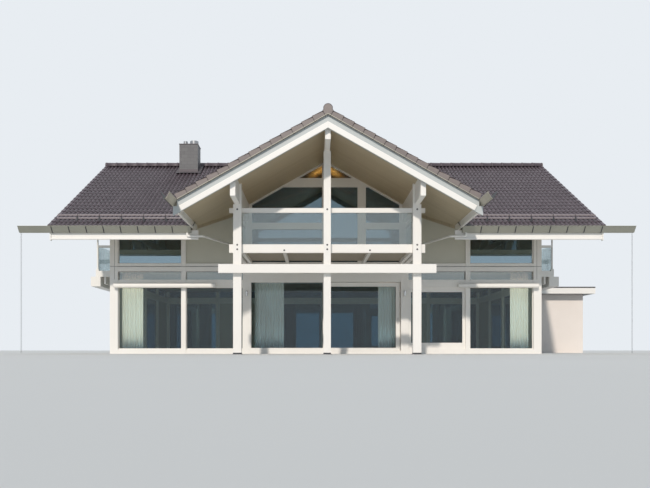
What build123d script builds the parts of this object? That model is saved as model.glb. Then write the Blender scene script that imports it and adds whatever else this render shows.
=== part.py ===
from build123d import *
import os
from math import cos, radians, sin, tan

# A detached timber post-and-beam house, in millimetres.
# X runs along the main ridge, -Y is the garden front, +Z is up.
# The origin is on the ground, under the crossing of the two ridges.

# House body, between the outer faces of its walls
house_half_length = 6830.0
house_half_depth = 4000.0
wall_depth = 200.0
corner_post_width = 250.0
bay_post_width = 140.0
gable_post_width = 240.0
bay_post_at = 4500.0
gable_post_at = 2500.0
side_post_at = 2000.0

# Levels above the ground
slab_thickness = 150.0
base_rail_height = 150.0
transom_bottom = 2110.0
transom_top = 2345.0
floor_beam_bottom = 2610.0
upper_sill = 2860.0
upper_floor_top = 2950.0
eaves_beam_height = 220.0
centre_head = 2280.0

# How far wall pieces stand back from the outer face, and their thickness
beam_setback = 10.0
panel_setback = 50.0
panel_thickness = 100.0
frame_setback = 80.0
frame_depth = 80.0
frame_bar = 22.0
glass_setback = 106.0
glass_thickness = 28.0
garden_bay_top_bar = 150.0
garden_bay_side_bar = 90.0
garden_bay_bottom_bar = 200.0

# Main roof
pitch = 29.5
roof_half_length = 8080.0
eave_overhang = 1700.0
eave_reach = house_half_depth + eave_overhang
deck_at_eave = 3620.0
main_deck_depth = 260.0
tile_depth = 178.0
tile_lip = 50.0
tile_verge_overhang = 60.0
ridge_cap_radius = 125.0
ridge_cap_drop = 30.0

# Cross gable roof over the balcony
cross_ridge_top = 6260.0
cross_deck_depth = 160.0
cross_board_depth = 350.0
cross_half_width = 3940.0
cross_front = -7950.0
cross_verge_overhang = 20.0
cross_fascia_thickness = 40.0

# Boards that close the roof edges
white_board_thickness = 40.0
grey_board_thickness = 60.0
white_board_depth = 163.0
grey_board_half_width = cross_half_width + 100.0
white_board_half_width = cross_half_width - 60.0
side_grey_board_thickness = 50.0
side_white_board_thickness = 30.0
side_white_board_depth = 120.0
joint_gap = 0.5

# Eaves fascia, gutters and what hangs from them
fascia_thickness = 60.0
fascia_bottom = 3350.0
fascia_lip = 25.0
fascia_lip_height = 45.0
fascia_inner_end = cross_half_width - 190.0
gutter_width = 220.0
gutter_floor = 80.0
gutter_bottom = 3540.0
gutter_top = 3710.0
gutter_wall = 5.0
gutter_reach = 8950.0
gutter_inner_end = cross_half_width + 10.0
rain_chain_diameter = 36.0
rain_chain_at = gutter_reach - 45.0
gable_gutter_front = -8850.0
gable_gutter_back = -5600.0
gable_gutter_lift = 20.0
gable_gutter_height = 180.0
gable_gutter_width = 230.0
gable_gutter_floor = 60.0
gable_gutter_flange = 30.0
drainpipe_diameter = 70.0
drainpipe_outlet_at = cross_half_width + 120.0
drainpipe_pass_at = fascia_inner_end - 150.0
drainpipe_wall_at = 2720.0
drainpipe_level = 3440.0
drainpipe_fall = 60.0
snow_pipe_diameter = 32.0
snow_guard_back = 350.0
snow_pipe_lift = (42.0, 132.0)
snow_bracket_spacing = 655.0
snow_bracket_thickness = 10.0
snow_bracket_depth = 44.0

# Purlins of the cross gable
purlin_front = -7800.0
side_purlin_width = 140.0
side_purlin_bottom = 4170.0
ridge_purlin_width = 145.0
ridge_purlin_bottom = 5650.0

# Balcony under the cross gable
balcony_front = -6710.0
balcony_post_width = 230.0
balcony_centre_post_width = 200.0
balcony_post_depth = 160.0
low_beam_half_length = 3010.0
low_beam_bottom = 2250.0
low_beam_height = 240.0
low_beam_depth = 140.0
edge_beam_half_length = 2745.0
edge_beam_bottom = 2845.0
edge_beam_height = 235.0
edge_beam_depth = 120.0
joist_width = 90.0
joist_height = 100.0
joist_rows = (-2380.0, -1200.0, 0.0, 1200.0, 2380.0)
deck_board_thickness = 30.0
side_rail_middle = 2560.0
handrail_bottom = 3965.0
handrail_height = 130.0
handrail_depth = 80.0
balustrade_glass = 20.0

# Narrow balconies on the two gable ends
side_balcony_half_length = 2100.0
side_deck_width = 940.0
side_deck_reach = house_half_length + side_deck_width
side_deck_bottom = 2640.0
side_deck_top = 2840.0
side_beam_from = side_deck_reach - 60.0
side_beam_to = side_deck_reach + 270.0
side_beam_bottom = 2310.0
side_slat_width = 55.0
side_slat_bottom = 2385.0
side_slat_spacing = 185.0
side_stub_width = 100.0
side_stub_top = 2900.0
side_rod_width = 45.0
side_screen_top = 3720.0
side_screen_rail = 80.0

# Gable glazing behind the balcony
collar_bottom = 5285.0
collar_height = 280.0
gable_rail_bottom = 3950.0
gable_rail_height = 200.0
balcony_door_left = 160.0
balcony_door_right = 1010.0
balcony_mullion_width = 260.0
gable_bar = 45.0
gable_frame_setback = 20.0

# Sliding terrace door in the right half of the centre bay
threshold_height = 95.0
track_width = 12.0
door_lift = 5.0
door_running_gap = 0.3
door_thickness = 60.0
door_setback = 120.0
door_side_clearance = 20.0
door_head_clearance = 12.0
door_bar = 130.0
door_bottom_bar = 90.0
centre_mullion_width = 140.0
centre_mullion_depth = 80.0

# Awning cassettes, wall lamps and curtains
awning_bottom = 2095.0
awning_height = 120.0
awning_depth = 150.0
awning_spans = ((140.0 - house_half_length, -3470.0), (4180.0, house_half_length - 120.0))
lamp_diameter = 75.0
lamp_height = 170.0
lamp_level = 1825.0
curtain_spans = (
    (270.0 - house_half_length, 970.0 - house_half_length),
    (-2290.0, -1330.0),
    (1680.0, 2250.0),
    (house_half_length - 900.0, house_half_length - 290.0),
)
curtain_depth = 110.0
curtain_back_from_wall = 260.0
curtain_clearance = 20.0
curtain_hang_gap = 0.3

# Chimney on the front slope
chimney_centre_x = -4918.0
chimney_width = 666.0
chimney_front = -800.0
chimney_depth = 600.0
chimney_top = 7588.0
flue_height = 165.0
small_flue_at = -159.0
small_flue_diameter = 152.0
large_flue_at = 158.0
large_flue_diameter = 304.0
flue_wall = 8.0

# Flat-roofed annex beside the house
annex_right = house_half_length + 3890.0
annex_front = 2750.0
annex_back = 8350.0
annex_overhang = 370.0
annex_fascia_bottom = 2420.0
annex_fascia_top = 2650.0
annex_fascia_thickness = 40.0
annex_cap_height = 50.0

rise = tan(radians(pitch))
# Both roofs have one pitch, so in plan each valley runs at 45 degrees
valley_reach = (cross_ridge_top - deck_at_eave) / rise
valley_start = valley_reach - cross_half_width - eave_reach
inner_half_depth = house_half_depth - wall_depth
inner_half_length = house_half_length - wall_depth
roof_sky = 9500.0


def main_deck_top(y):
    return deck_at_eave + (eave_reach - abs(y)) * rise


def main_underside(y):
    return main_deck_top(y) - main_deck_depth


def main_tile_top(y):
    return main_deck_top(y) + tile_depth


def cross_deck_top(x):
    return cross_ridge_top - abs(x) * rise


def cross_underside(x):
    return cross_deck_top(x) - cross_deck_depth


def cross_board_foot(x):
    return cross_deck_top(x) - cross_board_depth


def cross_tile_top(x):
    return cross_deck_top(x) + tile_depth


upper_head = main_underside(house_half_depth) - eaves_beam_height
gable_gutter_top = cross_deck_top(cross_half_width) + gable_gutter_lift
gable_gutter_bottom = gable_gutter_top - gable_gutter_height


# Each wall has its own plane on its outer face: local x along the wall, local y up
front_wall = Plane(origin=(0, -house_half_depth, 0), x_dir=(1, 0, 0), z_dir=(0, -1, 0))
rear_wall = Plane(origin=(0, house_half_depth, 0), x_dir=(-1, 0, 0), z_dir=(0, 1, 0))
left_wall = Plane(origin=(-house_half_length, 0, 0), x_dir=(0, -1, 0), z_dir=(-1, 0, 0))
right_wall = Plane(origin=(house_half_length, 0, 0), x_dir=(0, 1, 0), z_dir=(1, 0, 0))

corner_inner = house_half_length - corner_post_width
bay_outer = (bay_post_at + bay_post_width / 2, corner_inner)
bay_inner = (gable_post_at + gable_post_width / 2, bay_post_at - bay_post_width / 2)
rear_bay_inner = (gable_post_at + bay_post_width / 2, bay_post_at - bay_post_width / 2)
rear_bay_centre = (bay_post_width / 2, gable_post_at - bay_post_width / 2)
side_bay_outer = (side_post_at + bay_post_width / 2, inner_half_depth)
side_bay_centre = (bay_post_width / 2, side_post_at - bay_post_width / 2)
centre_half_width = gable_post_at - gable_post_width / 2

# Wall, bay span, what fills the ground storey and what fills the upper storey
bays = []
for hand in (-1, 1):
    bays.append((front_wall, hand, bay_outer, "window", "window"))
    bays.append((front_wall, hand, bay_inner, "window" if hand < 0 else "garden", "gable panel"))
    bays.append((rear_wall, hand, bay_outer, "window", "window"))
    bays.append((rear_wall, hand, rear_bay_inner, "panel", "panel"))
    bays.append((rear_wall, hand, rear_bay_centre, "window", "window"))
    for side_wall in (left_wall, right_wall):
        bays.append((side_wall, hand, side_bay_outer, "panel", "panel"))
        bays.append((side_wall, hand, side_bay_centre, "window", "window"))


def hand_over(piece, name):
    """Label a finished piece and write it as its own file."""
    piece.part.label = name
    export_step(piece.part, f"parts/{name}.step")


def block(x, y, z):
    """Add a block between pairs of coordinates to the open part."""
    with Locations((sum(x) / 2, sum(y) / 2, sum(z) / 2)):
        Box(abs(x[1] - x[0]), abs(y[1] - y[0]), abs(z[1] - z[0]))


def spread(hand, span):
    """Return a span on one hand of the centre line, low value first."""
    return tuple(sorted((hand * span[0], hand * span[1])))


def plate(plane, points, setback, thickness):
    """Add an outline drawn on a wall plane, from its setback inwards."""
    with BuildSketch(plane.offset(-setback)) as outline:
        with BuildLine():
            Polyline(*points, close=True)
        make_face()
    extrude(outline.sketch, amount=-thickness)


def wall_block(plane, along, up, setback, thickness):
    """Add a rectangular piece of a wall."""
    points = [(along[0], up[0]), (along[1], up[0]), (along[1], up[1]), (along[0], up[1])]
    plate(plane, points, setback, thickness)


def window_frame(plane, along, up, bars, setback=frame_setback, depth=frame_depth):
    """Add a frame with its side, top and bottom bars round one opening."""
    side_bar, top_bar, bottom_bar = bars
    with BuildSketch(plane.offset(-setback)) as ring:
        with Locations((sum(along) / 2, sum(up) / 2)):
            Rectangle(along[1] - along[0], up[1] - up[0])
        pane_up = (up[0] + bottom_bar, up[1] - top_bar)
        with Locations((sum(along) / 2, sum(pane_up) / 2)):
            Rectangle(along[1] - along[0] - 2 * side_bar, pane_up[1] - pane_up[0], mode=Mode.SUBTRACT)
    extrude(ring.sketch, amount=-depth)


def window_pane(plane, along, up, bars, setback=glass_setback):
    """Add the pane that fills a window frame."""
    side_bar, top_bar, bottom_bar = bars
    pane_along = (along[0] + side_bar, along[1] - side_bar)
    pane_up = (up[0] + bottom_bar, up[1] - top_bar)
    wall_block(plane, pane_along, pane_up, setback, glass_thickness)


def trim_to_main_roof():
    """Cut the open part off along the underside of the main roof."""
    with BuildSketch(Plane.YZ.offset(-roof_half_length)) as above:
        with BuildLine():
            Polyline(
                (-eave_reach, main_underside(eave_reach)),
                (0, main_underside(0)),
                (eave_reach, main_underside(eave_reach)),
                (eave_reach, roof_sky),
                (-eave_reach, roof_sky),
                close=True,
            )
        make_face()
    extrude(above.sketch, amount=2 * roof_half_length, mode=Mode.SUBTRACT)


def cut_plan(points):
    """Cut a plan outline through the open part from the ground to the sky."""
    with BuildSketch(Plane.XY) as plan:
        with BuildLine():
            Polyline(*points, close=True)
        make_face()
    extrude(plan.sketch, amount=roof_sky, mode=Mode.SUBTRACT)


def keep_above_tiles(x):
    """Cut the open part off along the top of the main tiles, between two X values."""
    with BuildSketch(Plane.YZ.offset(x[0])) as below:
        with BuildLine():
            Polyline(
                (-eave_reach, main_tile_top(eave_reach)),
                (0, main_tile_top(0)),
                (eave_reach, main_tile_top(eave_reach)),
                (0, 0),
                close=True,
            )
        make_face()
    extrude(below.sketch, amount=x[1] - x[0], mode=Mode.SUBTRACT)


def side_gable_light(hand):
    """Return the outline of the light over the centre bays of a gable end."""
    low, high = side_bay_centre
    foot = main_underside(house_half_depth)
    return [
        (hand * low, foot),
        (hand * high, foot),
        (hand * high, main_underside(high)),
        (hand * low, main_underside(low)),
    ]


def gable_light(hand):
    """Return the outline of one half of the gable glazing."""
    return [
        (hand * centre_mullion_width / 2, upper_sill),
        (hand * centre_half_width, upper_sill),
        (hand * centre_half_width, cross_underside(centre_half_width)),
        (hand * centre_mullion_width / 2, cross_underside(centre_mullion_width / 2)),
    ]


def extrude_along_x(outline, x_from, x_to, face):
    """Add a section drawn for the front slope. The face is -1 in front and 1 at the rear."""
    with BuildSketch(Plane.YZ.offset(x_from)) as section:
        with BuildLine():
            Polyline(*[(-face * y, z) for y, z in outline], close=True)
        make_face()
    extrude(section.sketch, amount=x_to - x_from)


def extrude_forward(outline, back, front):
    """Add a section drawn in X and Z, from its back to its front along -Y."""
    with BuildSketch(Plane.XZ.offset(-back)) as section:
        with BuildLine():
            Polyline(*outline, close=True)
        make_face()
    extrude(section.sketch, amount=back - front)


def window_bars(kind):
    """Return the side, top and bottom bars of a kind of ground storey window."""
    if kind == "garden":
        return (garden_bay_side_bar, garden_bay_top_bar, garden_bay_bottom_bar)
    return (frame_bar, frame_bar, frame_bar)


os.makedirs("parts", exist_ok=True)

# Floors

with BuildPart() as ground_slab:
    room_x = (-inner_half_length, inner_half_length)
    room_y = (-inner_half_depth, inner_half_depth)
    block(room_x, room_y, (0, slab_thickness))
    annex_slab_y = (annex_front + wall_depth, annex_back - wall_depth)
    block((house_half_length + wall_depth, annex_right - wall_depth), annex_slab_y, (0, slab_thickness))
hand_over(ground_slab, "ground_slab")

with BuildPart() as upper_floor:
    block(room_x, room_y, (floor_beam_bottom, upper_floor_top))
hand_over(upper_floor, "upper_floor")

# Walls: posts, beams, panels and windows

with BuildPart() as wall_posts:
    for wall in (front_wall, rear_wall):
        for hand in (-1, 1):
            wall_block(wall, spread(hand, (corner_inner, house_half_length)), (0, roof_sky), 0, wall_depth)
            bay_post = (bay_post_at - bay_post_width / 2, bay_post_at + bay_post_width / 2)
            wall_block(wall, spread(hand, bay_post), (0, roof_sky), 0, wall_depth)
    for along in (-gable_post_at, 0, gable_post_at):
        rear_post = (along - bay_post_width / 2, along + bay_post_width / 2)
        wall_block(rear_wall, rear_post, (0, roof_sky), 0, wall_depth)
    for wall in (left_wall, right_wall):
        for along in (-side_post_at, 0, side_post_at):
            side_post = (along - bay_post_width / 2, along + bay_post_width / 2)
            wall_block(wall, side_post, (0, roof_sky), 0, wall_depth)
    trim_to_main_roof()
    for hand in (-1, 1):
        low, high = centre_half_width, gable_post_at + gable_post_width / 2
        gable_post = [
            (hand * low, 0),
            (hand * high, 0),
            (hand * high, cross_underside(high)),
            (hand * low, cross_underside(low)),
        ]
        plate(front_wall, gable_post, 0, wall_depth)
    half = centre_mullion_width / 2
    king_post = [
        (-half, upper_sill),
        (half, upper_sill),
        (half, cross_underside(half)),
        (0, cross_underside(0)),
        (-half, cross_underside(half)),
    ]
    plate(front_wall, king_post, 0, wall_depth)
hand_over(wall_posts, "wall_posts")

beam_depth = wall_depth - 2 * beam_setback

with BuildPart() as base_rails:
    for wall, hand, span, ground_kind, upper_kind in bays:
        wall_block(wall, spread(hand, span), (0, base_rail_height), beam_setback, beam_depth)
    threshold_along = (-centre_half_width, centre_half_width)
    wall_block(front_wall, threshold_along, (0, threshold_height), beam_setback, beam_depth)
    track_setback = door_setback + (door_thickness - track_width) / 2
    track_up = (threshold_height, threshold_height + door_lift)
    wall_block(front_wall, threshold_along, track_up, track_setback, track_width)
hand_over(base_rails, "base_rails")

with BuildPart() as wall_beams:
    for wall, hand, span, ground_kind, upper_kind in bays:
        wall_block(wall, spread(hand, span), (transom_bottom, transom_top), beam_setback, beam_depth)
        wall_block(wall, spread(hand, span), (floor_beam_bottom, upper_sill), beam_setback, beam_depth)
        if upper_kind != "gable panel":
            eave_level = main_underside(house_half_depth)
            wall_block(wall, spread(hand, span), (upper_head, eave_level), beam_setback, beam_depth)
    centre_beam = (-centre_half_width, centre_half_width)
    wall_block(front_wall, centre_beam, (centre_head, upper_sill), beam_setback, beam_depth)
hand_over(wall_beams, "wall_beams")

with BuildPart() as wall_panels:
    for wall, hand, span, ground_kind, upper_kind in bays:
        if ground_kind == "panel":
            up = (base_rail_height, transom_bottom)
            wall_block(wall, spread(hand, span), up, panel_setback, panel_thickness)
        if upper_kind == "panel":
            up = (upper_sill, upper_head)
            wall_block(wall, spread(hand, span), up, panel_setback, panel_thickness)
        if upper_kind == "gable panel":
            panel_face = house_half_depth - panel_setback
            valley_at = valley_reach + panel_face - panel_thickness - eave_reach
            outline = [
                (hand * span[0], upper_sill),
                (hand * span[1], upper_sill),
                (hand * span[1], main_underside(panel_face)),
                (hand * valley_at, main_underside(panel_face)),
                (hand * valley_at, cross_underside(valley_at)),
                (hand * span[0], cross_underside(span[0])),
            ]
            plate(wall, outline, panel_setback, panel_thickness)
    gable_foot = main_underside(house_half_depth)
    for wall in (left_wall, right_wall):
        for hand in (-1, 1):
            low, high = side_bay_outer
            outline = [
                (hand * low, gable_foot),
                (hand * high, gable_foot),
                (hand * high, main_underside(high)),
                (hand * low, main_underside(low)),
            ]
            plate(wall, outline, panel_setback, panel_thickness)
hand_over(wall_panels, "wall_panels")

centre_fixed = (-centre_half_width, -centre_mullion_width / 2)
centre_fixed_up = (threshold_height, centre_head)
centre_bars = (frame_bar, frame_bar, door_bottom_bar)
centre_frame_setback = 10.0
centre_glass_setback = 36.0

with BuildPart() as ground_window_frames:
    for wall, hand, span, ground_kind, upper_kind in bays:
        if ground_kind in ("window", "garden"):
            up = (base_rail_height, transom_bottom)
            window_frame(wall, spread(hand, span), up, window_bars(ground_kind))
hand_over(ground_window_frames, "ground_window_frames")

# The fixed half of the centre bay stands in front of the sliding leaf's path
with BuildPart() as terrace_door_surround:
    window_frame(front_wall, centre_fixed, centre_fixed_up, centre_bars, centre_frame_setback)
    mullion = (-centre_mullion_width / 2, centre_mullion_width / 2)
    wall_block(front_wall, mullion, (threshold_height, centre_head), 0, centre_mullion_depth)
hand_over(terrace_door_surround, "terrace_door_surround")

with BuildPart() as ground_window_glass:
    for wall, hand, span, ground_kind, upper_kind in bays:
        if ground_kind in ("window", "garden"):
            up = (base_rail_height, transom_bottom)
            window_pane(wall, spread(hand, span), up, window_bars(ground_kind))
        frieze_up = (transom_top, floor_beam_bottom)
        wall_block(wall, spread(hand, span), frieze_up, glass_setback, glass_thickness)
    window_pane(front_wall, centre_fixed, centre_fixed_up, centre_bars, centre_glass_setback)
hand_over(ground_window_glass, "ground_window_glass")

with BuildPart() as upper_window_frames:
    upper_bars = (frame_bar, frame_bar, frame_bar)
    for wall, hand, span, ground_kind, upper_kind in bays:
        if upper_kind == "window":
            window_frame(wall, spread(hand, span), (upper_sill, upper_head), upper_bars)
    for wall in (left_wall, right_wall):
        for hand in (-1, 1):
            with BuildSketch(wall.offset(-frame_setback)) as light:
                with BuildLine():
                    Polyline(*side_gable_light(hand), close=True)
                make_face()
                offset(amount=-frame_bar, kind=Kind.INTERSECTION, mode=Mode.SUBTRACT)
            extrude(light.sketch, amount=-frame_depth)
hand_over(upper_window_frames, "upper_window_frames")

with BuildPart() as upper_window_glass:
    for wall, hand, span, ground_kind, upper_kind in bays:
        if upper_kind == "window":
            window_pane(wall, spread(hand, span), (upper_sill, upper_head), upper_bars)
    for wall in (left_wall, right_wall):
        for hand in (-1, 1):
            with BuildSketch(wall.offset(-glass_setback)) as light:
                with BuildLine():
                    Polyline(*side_gable_light(hand), close=True)
                make_face()
                offset(amount=-frame_bar, kind=Kind.INTERSECTION, mode=Mode.REPLACE)
            extrude(light.sketch, amount=-glass_thickness)
hand_over(upper_window_glass, "upper_window_glass")

# Gable glazing between the two gable posts, with the balcony door on the right

with BuildPart() as gable_frame:
    gable_half_inner = centre_mullion_width / 2
    collar_half = (cross_underside(0) - collar_bottom) / rise
    collar_top_half = (cross_underside(0) - collar_bottom - collar_height) / rise
    for hand in (-1, 1):
        with BuildSketch(front_wall.offset(-gable_frame_setback)) as ring:
            with BuildLine():
                Polyline(*gable_light(hand), close=True)
            make_face()
            offset(amount=-gable_bar, kind=Kind.INTERSECTION, mode=Mode.SUBTRACT)
        extrude(ring.sketch, amount=-frame_depth)
        collar = [
            (hand * gable_half_inner, collar_bottom),
            (hand * collar_half, collar_bottom),
            (hand * collar_top_half, collar_bottom + collar_height),
            (hand * gable_half_inner, collar_bottom + collar_height),
        ]
        plate(front_wall, collar, gable_frame_setback, frame_depth)
        rail_from = gable_half_inner if hand < 0 else balcony_door_right
        rail = spread(hand, (rail_from, centre_half_width))
        rail_up = (gable_rail_bottom, gable_rail_bottom + gable_rail_height)
        wall_block(front_wall, rail, rail_up, gable_frame_setback, frame_depth)
    door_far = balcony_door_right + balcony_mullion_width
    mullion = [
        (balcony_door_right, upper_sill),
        (door_far, upper_sill),
        (door_far, cross_underside(door_far)),
        (balcony_door_right, cross_underside(balcony_door_right)),
    ]
    plate(front_wall, mullion, gable_frame_setback, frame_depth)
    door_hinge_bar = (gable_half_inner, balcony_door_left)
    wall_block(front_wall, door_hinge_bar, (upper_sill, collar_bottom), gable_frame_setback, frame_depth)
hand_over(gable_frame, "gable_frame")

with BuildPart() as gable_glass:
    for hand in (-1, 1):
        plate(front_wall, gable_light(hand), gable_frame_setback + frame_depth, glass_thickness)
hand_over(gable_glass, "gable_glass")

# Sliding leaf of the terrace door, which runs left behind the fixed half

leaf_along = (centre_mullion_width / 2 - door_bar / 2, centre_half_width - door_side_clearance)
leaf_up = (threshold_height + door_lift + door_running_gap, centre_head - door_head_clearance)
leaf_bars = (door_bar, door_bar, door_bottom_bar)

with BuildPart() as terrace_door_leaf:
    window_frame(front_wall, leaf_along, leaf_up, leaf_bars, door_setback, door_thickness)
hand_over(terrace_door_leaf, "terrace_door_leaf")

with BuildPart() as terrace_door_glass:
    pane_setback = door_setback + (door_thickness - glass_thickness) / 2
    window_pane(front_wall, leaf_along, leaf_up, leaf_bars, pane_setback)
hand_over(terrace_door_glass, "terrace_door_glass")

# Main roof: decks, then the tile layer on them, which ends in a thin lip over the gutter

deck_half_length = roof_half_length - side_grey_board_thickness - side_white_board_thickness
deck_eave = eave_reach - fascia_thickness
tile_half_length = roof_half_length + tile_verge_overhang
tile_eave = eave_reach + tile_lip


main_deck_outline = [
    (-deck_eave, main_underside(deck_eave)),
    (0, main_underside(0)),
    (0, main_deck_top(0)),
    (-deck_eave, main_deck_top(deck_eave)),
]
main_tile_outline = [
    (-tile_eave, main_tile_top(tile_eave)),
    (-tile_eave, main_tile_top(tile_eave) - tile_lip),
    (-eave_reach, main_tile_top(eave_reach) - tile_lip),
    (-eave_reach, main_deck_top(eave_reach)),
    (0, main_deck_top(0)),
    (0, main_tile_top(0)),
]
boards_back = cross_front + white_board_thickness + grey_board_thickness
cross_deck_edge = cross_half_width - cross_fascia_thickness
cross_tile_edge = cross_half_width + tile_lip
cross_tile_front = cross_front - cross_verge_overhang

for hand, hand_name in ((-1, "left"), (1, "right")):
    with BuildPart() as main_deck_front:
        ends = spread(hand, (0, deck_half_length))
        extrude_along_x(main_deck_outline, ends[0], ends[1], -1)
        cut_plan([
            (0, -tile_eave - tile_lip),
            (hand * cross_half_width, -tile_eave - tile_lip),
            (hand * cross_half_width, valley_start),
            (0, valley_reach - eave_reach),
        ])
    hand_over(main_deck_front, f"main_deck_front_{hand_name}")

    with BuildPart() as main_tiles_front:
        ends = spread(hand, (0, tile_half_length))
        extrude_along_x(main_tile_outline, ends[0], ends[1], -1)
        cut_plan([
            (0, -tile_eave - tile_lip),
            (hand * cross_tile_edge, -tile_eave - tile_lip),
            (hand * cross_tile_edge, valley_start - tile_lip),
            (0, valley_reach - eave_reach),
        ])
    hand_over(main_tiles_front, f"main_tiles_front_{hand_name}")

with BuildPart() as main_deck_rear:
    extrude_along_x(main_deck_outline, -deck_half_length, deck_half_length, 1)
hand_over(main_deck_rear, "main_deck_rear")

with BuildPart() as main_tiles_rear:
    extrude_along_x(main_tile_outline, -tile_half_length, tile_half_length, 1)
hand_over(main_tiles_rear, "main_tiles_rear")

# Cross gable roof, one slope on each hand, cut off at its valley

for hand, hand_name in ((-1, "left"), (1, "right")):
    beyond_valley = [
        (0, valley_reach - eave_reach),
        (hand * cross_tile_edge, valley_start - tile_lip),
        (hand * tile_half_length, valley_start),
        (hand * tile_half_length, 0),
        (0, 0),
    ]
    cross_deck_outline = [
        (0, cross_underside(0)),
        (hand * cross_deck_edge, cross_underside(cross_deck_edge)),
        (hand * cross_deck_edge, cross_deck_top(cross_deck_edge)),
        (0, cross_deck_top(0)),
    ]
    with BuildPart() as cross_deck:
        extrude_forward(cross_deck_outline, 0, boards_back)
        cut_plan(beyond_valley)
    hand_over(cross_deck, f"cross_deck_{hand_name}")

    cross_tile_outline = [
        (0, cross_deck_top(0)),
        (hand * cross_half_width, cross_deck_top(cross_half_width)),
        (hand * cross_half_width, cross_tile_top(cross_half_width) - tile_lip),
        (hand * cross_tile_edge, cross_tile_top(cross_tile_edge) - tile_lip),
        (hand * cross_tile_edge, cross_tile_top(cross_tile_edge)),
        (0, cross_tile_top(0)),
    ]
    with BuildPart() as cross_tiles:
        extrude_forward(cross_tile_outline, 0, cross_tile_front)
        cut_plan(beyond_valley)
    hand_over(cross_tiles, f"cross_tiles_{hand_name}")

with BuildPart() as ridge_caps:
    with BuildSketch(Plane.YZ.offset(-tile_half_length)):
        with Locations((0, main_tile_top(0) - ridge_cap_drop)):
            Circle(ridge_cap_radius)
    extrude(amount=2 * tile_half_length)
    keep_above_tiles((-tile_half_length, tile_half_length))
    with BuildSketch(Plane.XZ):
        with Locations((0, cross_tile_top(0) - ridge_cap_drop)):
            Circle(ridge_cap_radius)
        with BuildLine():
            Polyline(
                (-cross_half_width, cross_tile_top(cross_half_width)),
                (0, cross_tile_top(0)),
                (cross_half_width, cross_tile_top(cross_half_width)),
                (0, 0),
                close=True,
            )
        make_face(mode=Mode.SUBTRACT)
    extrude(amount=-cross_tile_front)
    keep_above_tiles((-ridge_cap_radius, ridge_cap_radius))
hand_over(ridge_caps, "ridge_caps")

# Purlins that carry the cross gable over the balcony, from its front to the wall

with BuildPart() as purlins:
    for along in (-gable_post_at, gable_post_at):
        low, high = along - side_purlin_width / 2, along + side_purlin_width / 2
        side_purlin = [
            (low, side_purlin_bottom),
            (high, side_purlin_bottom),
            (high, cross_underside(high)),
            (low, cross_underside(low)),
        ]
        extrude_forward(side_purlin, -house_half_depth, purlin_front)
    half = ridge_purlin_width / 2
    ridge_purlin = [
        (-half, ridge_purlin_bottom),
        (half, ridge_purlin_bottom),
        (half, cross_underside(half)),
        (0, cross_underside(0)),
        (-half, cross_underside(half)),
    ]
    extrude_forward(ridge_purlin, -house_half_depth, purlin_front)
hand_over(purlins, "purlins")

# Verge boards: a deep grey board with a white board on its lower half

with BuildPart() as grey_verge_boards:
    notch_side = cross_half_width - joint_gap
    notch_foot = gable_gutter_bottom - joint_gap
    for hand in (-1, 1):
        front_board = [
            (hand * joint_gap, cross_deck_top(joint_gap)),
            (hand * notch_side, cross_deck_top(notch_side)),
            (hand * notch_side, notch_foot),
            (hand * grey_board_half_width, notch_foot),
            (hand * grey_board_half_width, cross_board_foot(grey_board_half_width)),
            (hand * joint_gap, cross_board_foot(joint_gap)),
        ]
        extrude_forward(front_board, boards_back, boards_back - grey_board_thickness)
    side_board = [
        (-deck_eave, main_underside(deck_eave)),
        (-joint_gap, main_underside(joint_gap)),
        (-joint_gap, main_deck_top(joint_gap)),
        (-deck_eave, main_deck_top(deck_eave)),
    ]
    for face in (-1, 1):
        for hand in (-1, 1):
            ends = spread(hand, (deck_half_length, deck_half_length + side_grey_board_thickness))
            extrude_along_x(side_board, ends[0], ends[1], face)
hand_over(grey_verge_boards, "grey_verge_boards")

with BuildPart() as white_verge_boards:
    end_bottom = white_board_half_width - white_board_depth * sin(radians(pitch)) * cos(radians(pitch))
    for hand in (-1, 1):
        front_board = [
            (hand * joint_gap, cross_board_foot(joint_gap)),
            (hand * end_bottom, cross_board_foot(end_bottom)),
            (hand * white_board_half_width, cross_board_foot(white_board_half_width) + white_board_depth),
            (hand * joint_gap, cross_board_foot(joint_gap) + white_board_depth),
        ]
        extrude_forward(front_board, cross_front + white_board_thickness, cross_front)
    side_board = [
        (-deck_eave, main_underside(deck_eave)),
        (-joint_gap, main_underside(joint_gap)),
        (-joint_gap, main_underside(joint_gap) + side_white_board_depth),
        (-deck_eave, main_underside(deck_eave) + side_white_board_depth),
    ]
    for face in (-1, 1):
        for hand in (-1, 1):
            ends = spread(hand, (roof_half_length - side_white_board_thickness, roof_half_length))
            extrude_along_x(side_board, ends[0], ends[1], face)
hand_over(white_verge_boards, "white_verge_boards")

# Eaves fascias, with a lip along the bottom, and the plain fascias under the gable gutters

with BuildPart() as eaves_fascias:
    fascia_outline = [
        (-deck_eave, fascia_bottom),
        (-eave_reach - fascia_lip, fascia_bottom),
        (-eave_reach - fascia_lip, fascia_bottom + fascia_lip_height),
        (-eave_reach, fascia_bottom + fascia_lip_height),
        (-eave_reach, main_deck_top(eave_reach)),
        (-deck_eave, main_deck_top(eave_reach)),
    ]
    extrude_along_x(fascia_outline, -roof_half_length, -fascia_inner_end, -1)
    extrude_along_x(fascia_outline, fascia_inner_end, roof_half_length, -1)
    extrude_along_x(fascia_outline, -roof_half_length, roof_half_length, 1)
    for hand in (-1, 1):
        gable_fascia = [
            (hand * cross_deck_edge, cross_board_foot(cross_deck_edge)),
            (hand * cross_half_width, cross_board_foot(cross_half_width)),
            (hand * cross_half_width, cross_deck_top(cross_half_width)),
            (hand * cross_deck_edge, cross_deck_top(cross_deck_edge)),
        ]
        extrude_forward(gable_fascia, valley_start, boards_back)
hand_over(eaves_fascias, "eaves_fascias")

# Gutters: along the main eaves the front leans outwards, along the gable roof both sides do

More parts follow.
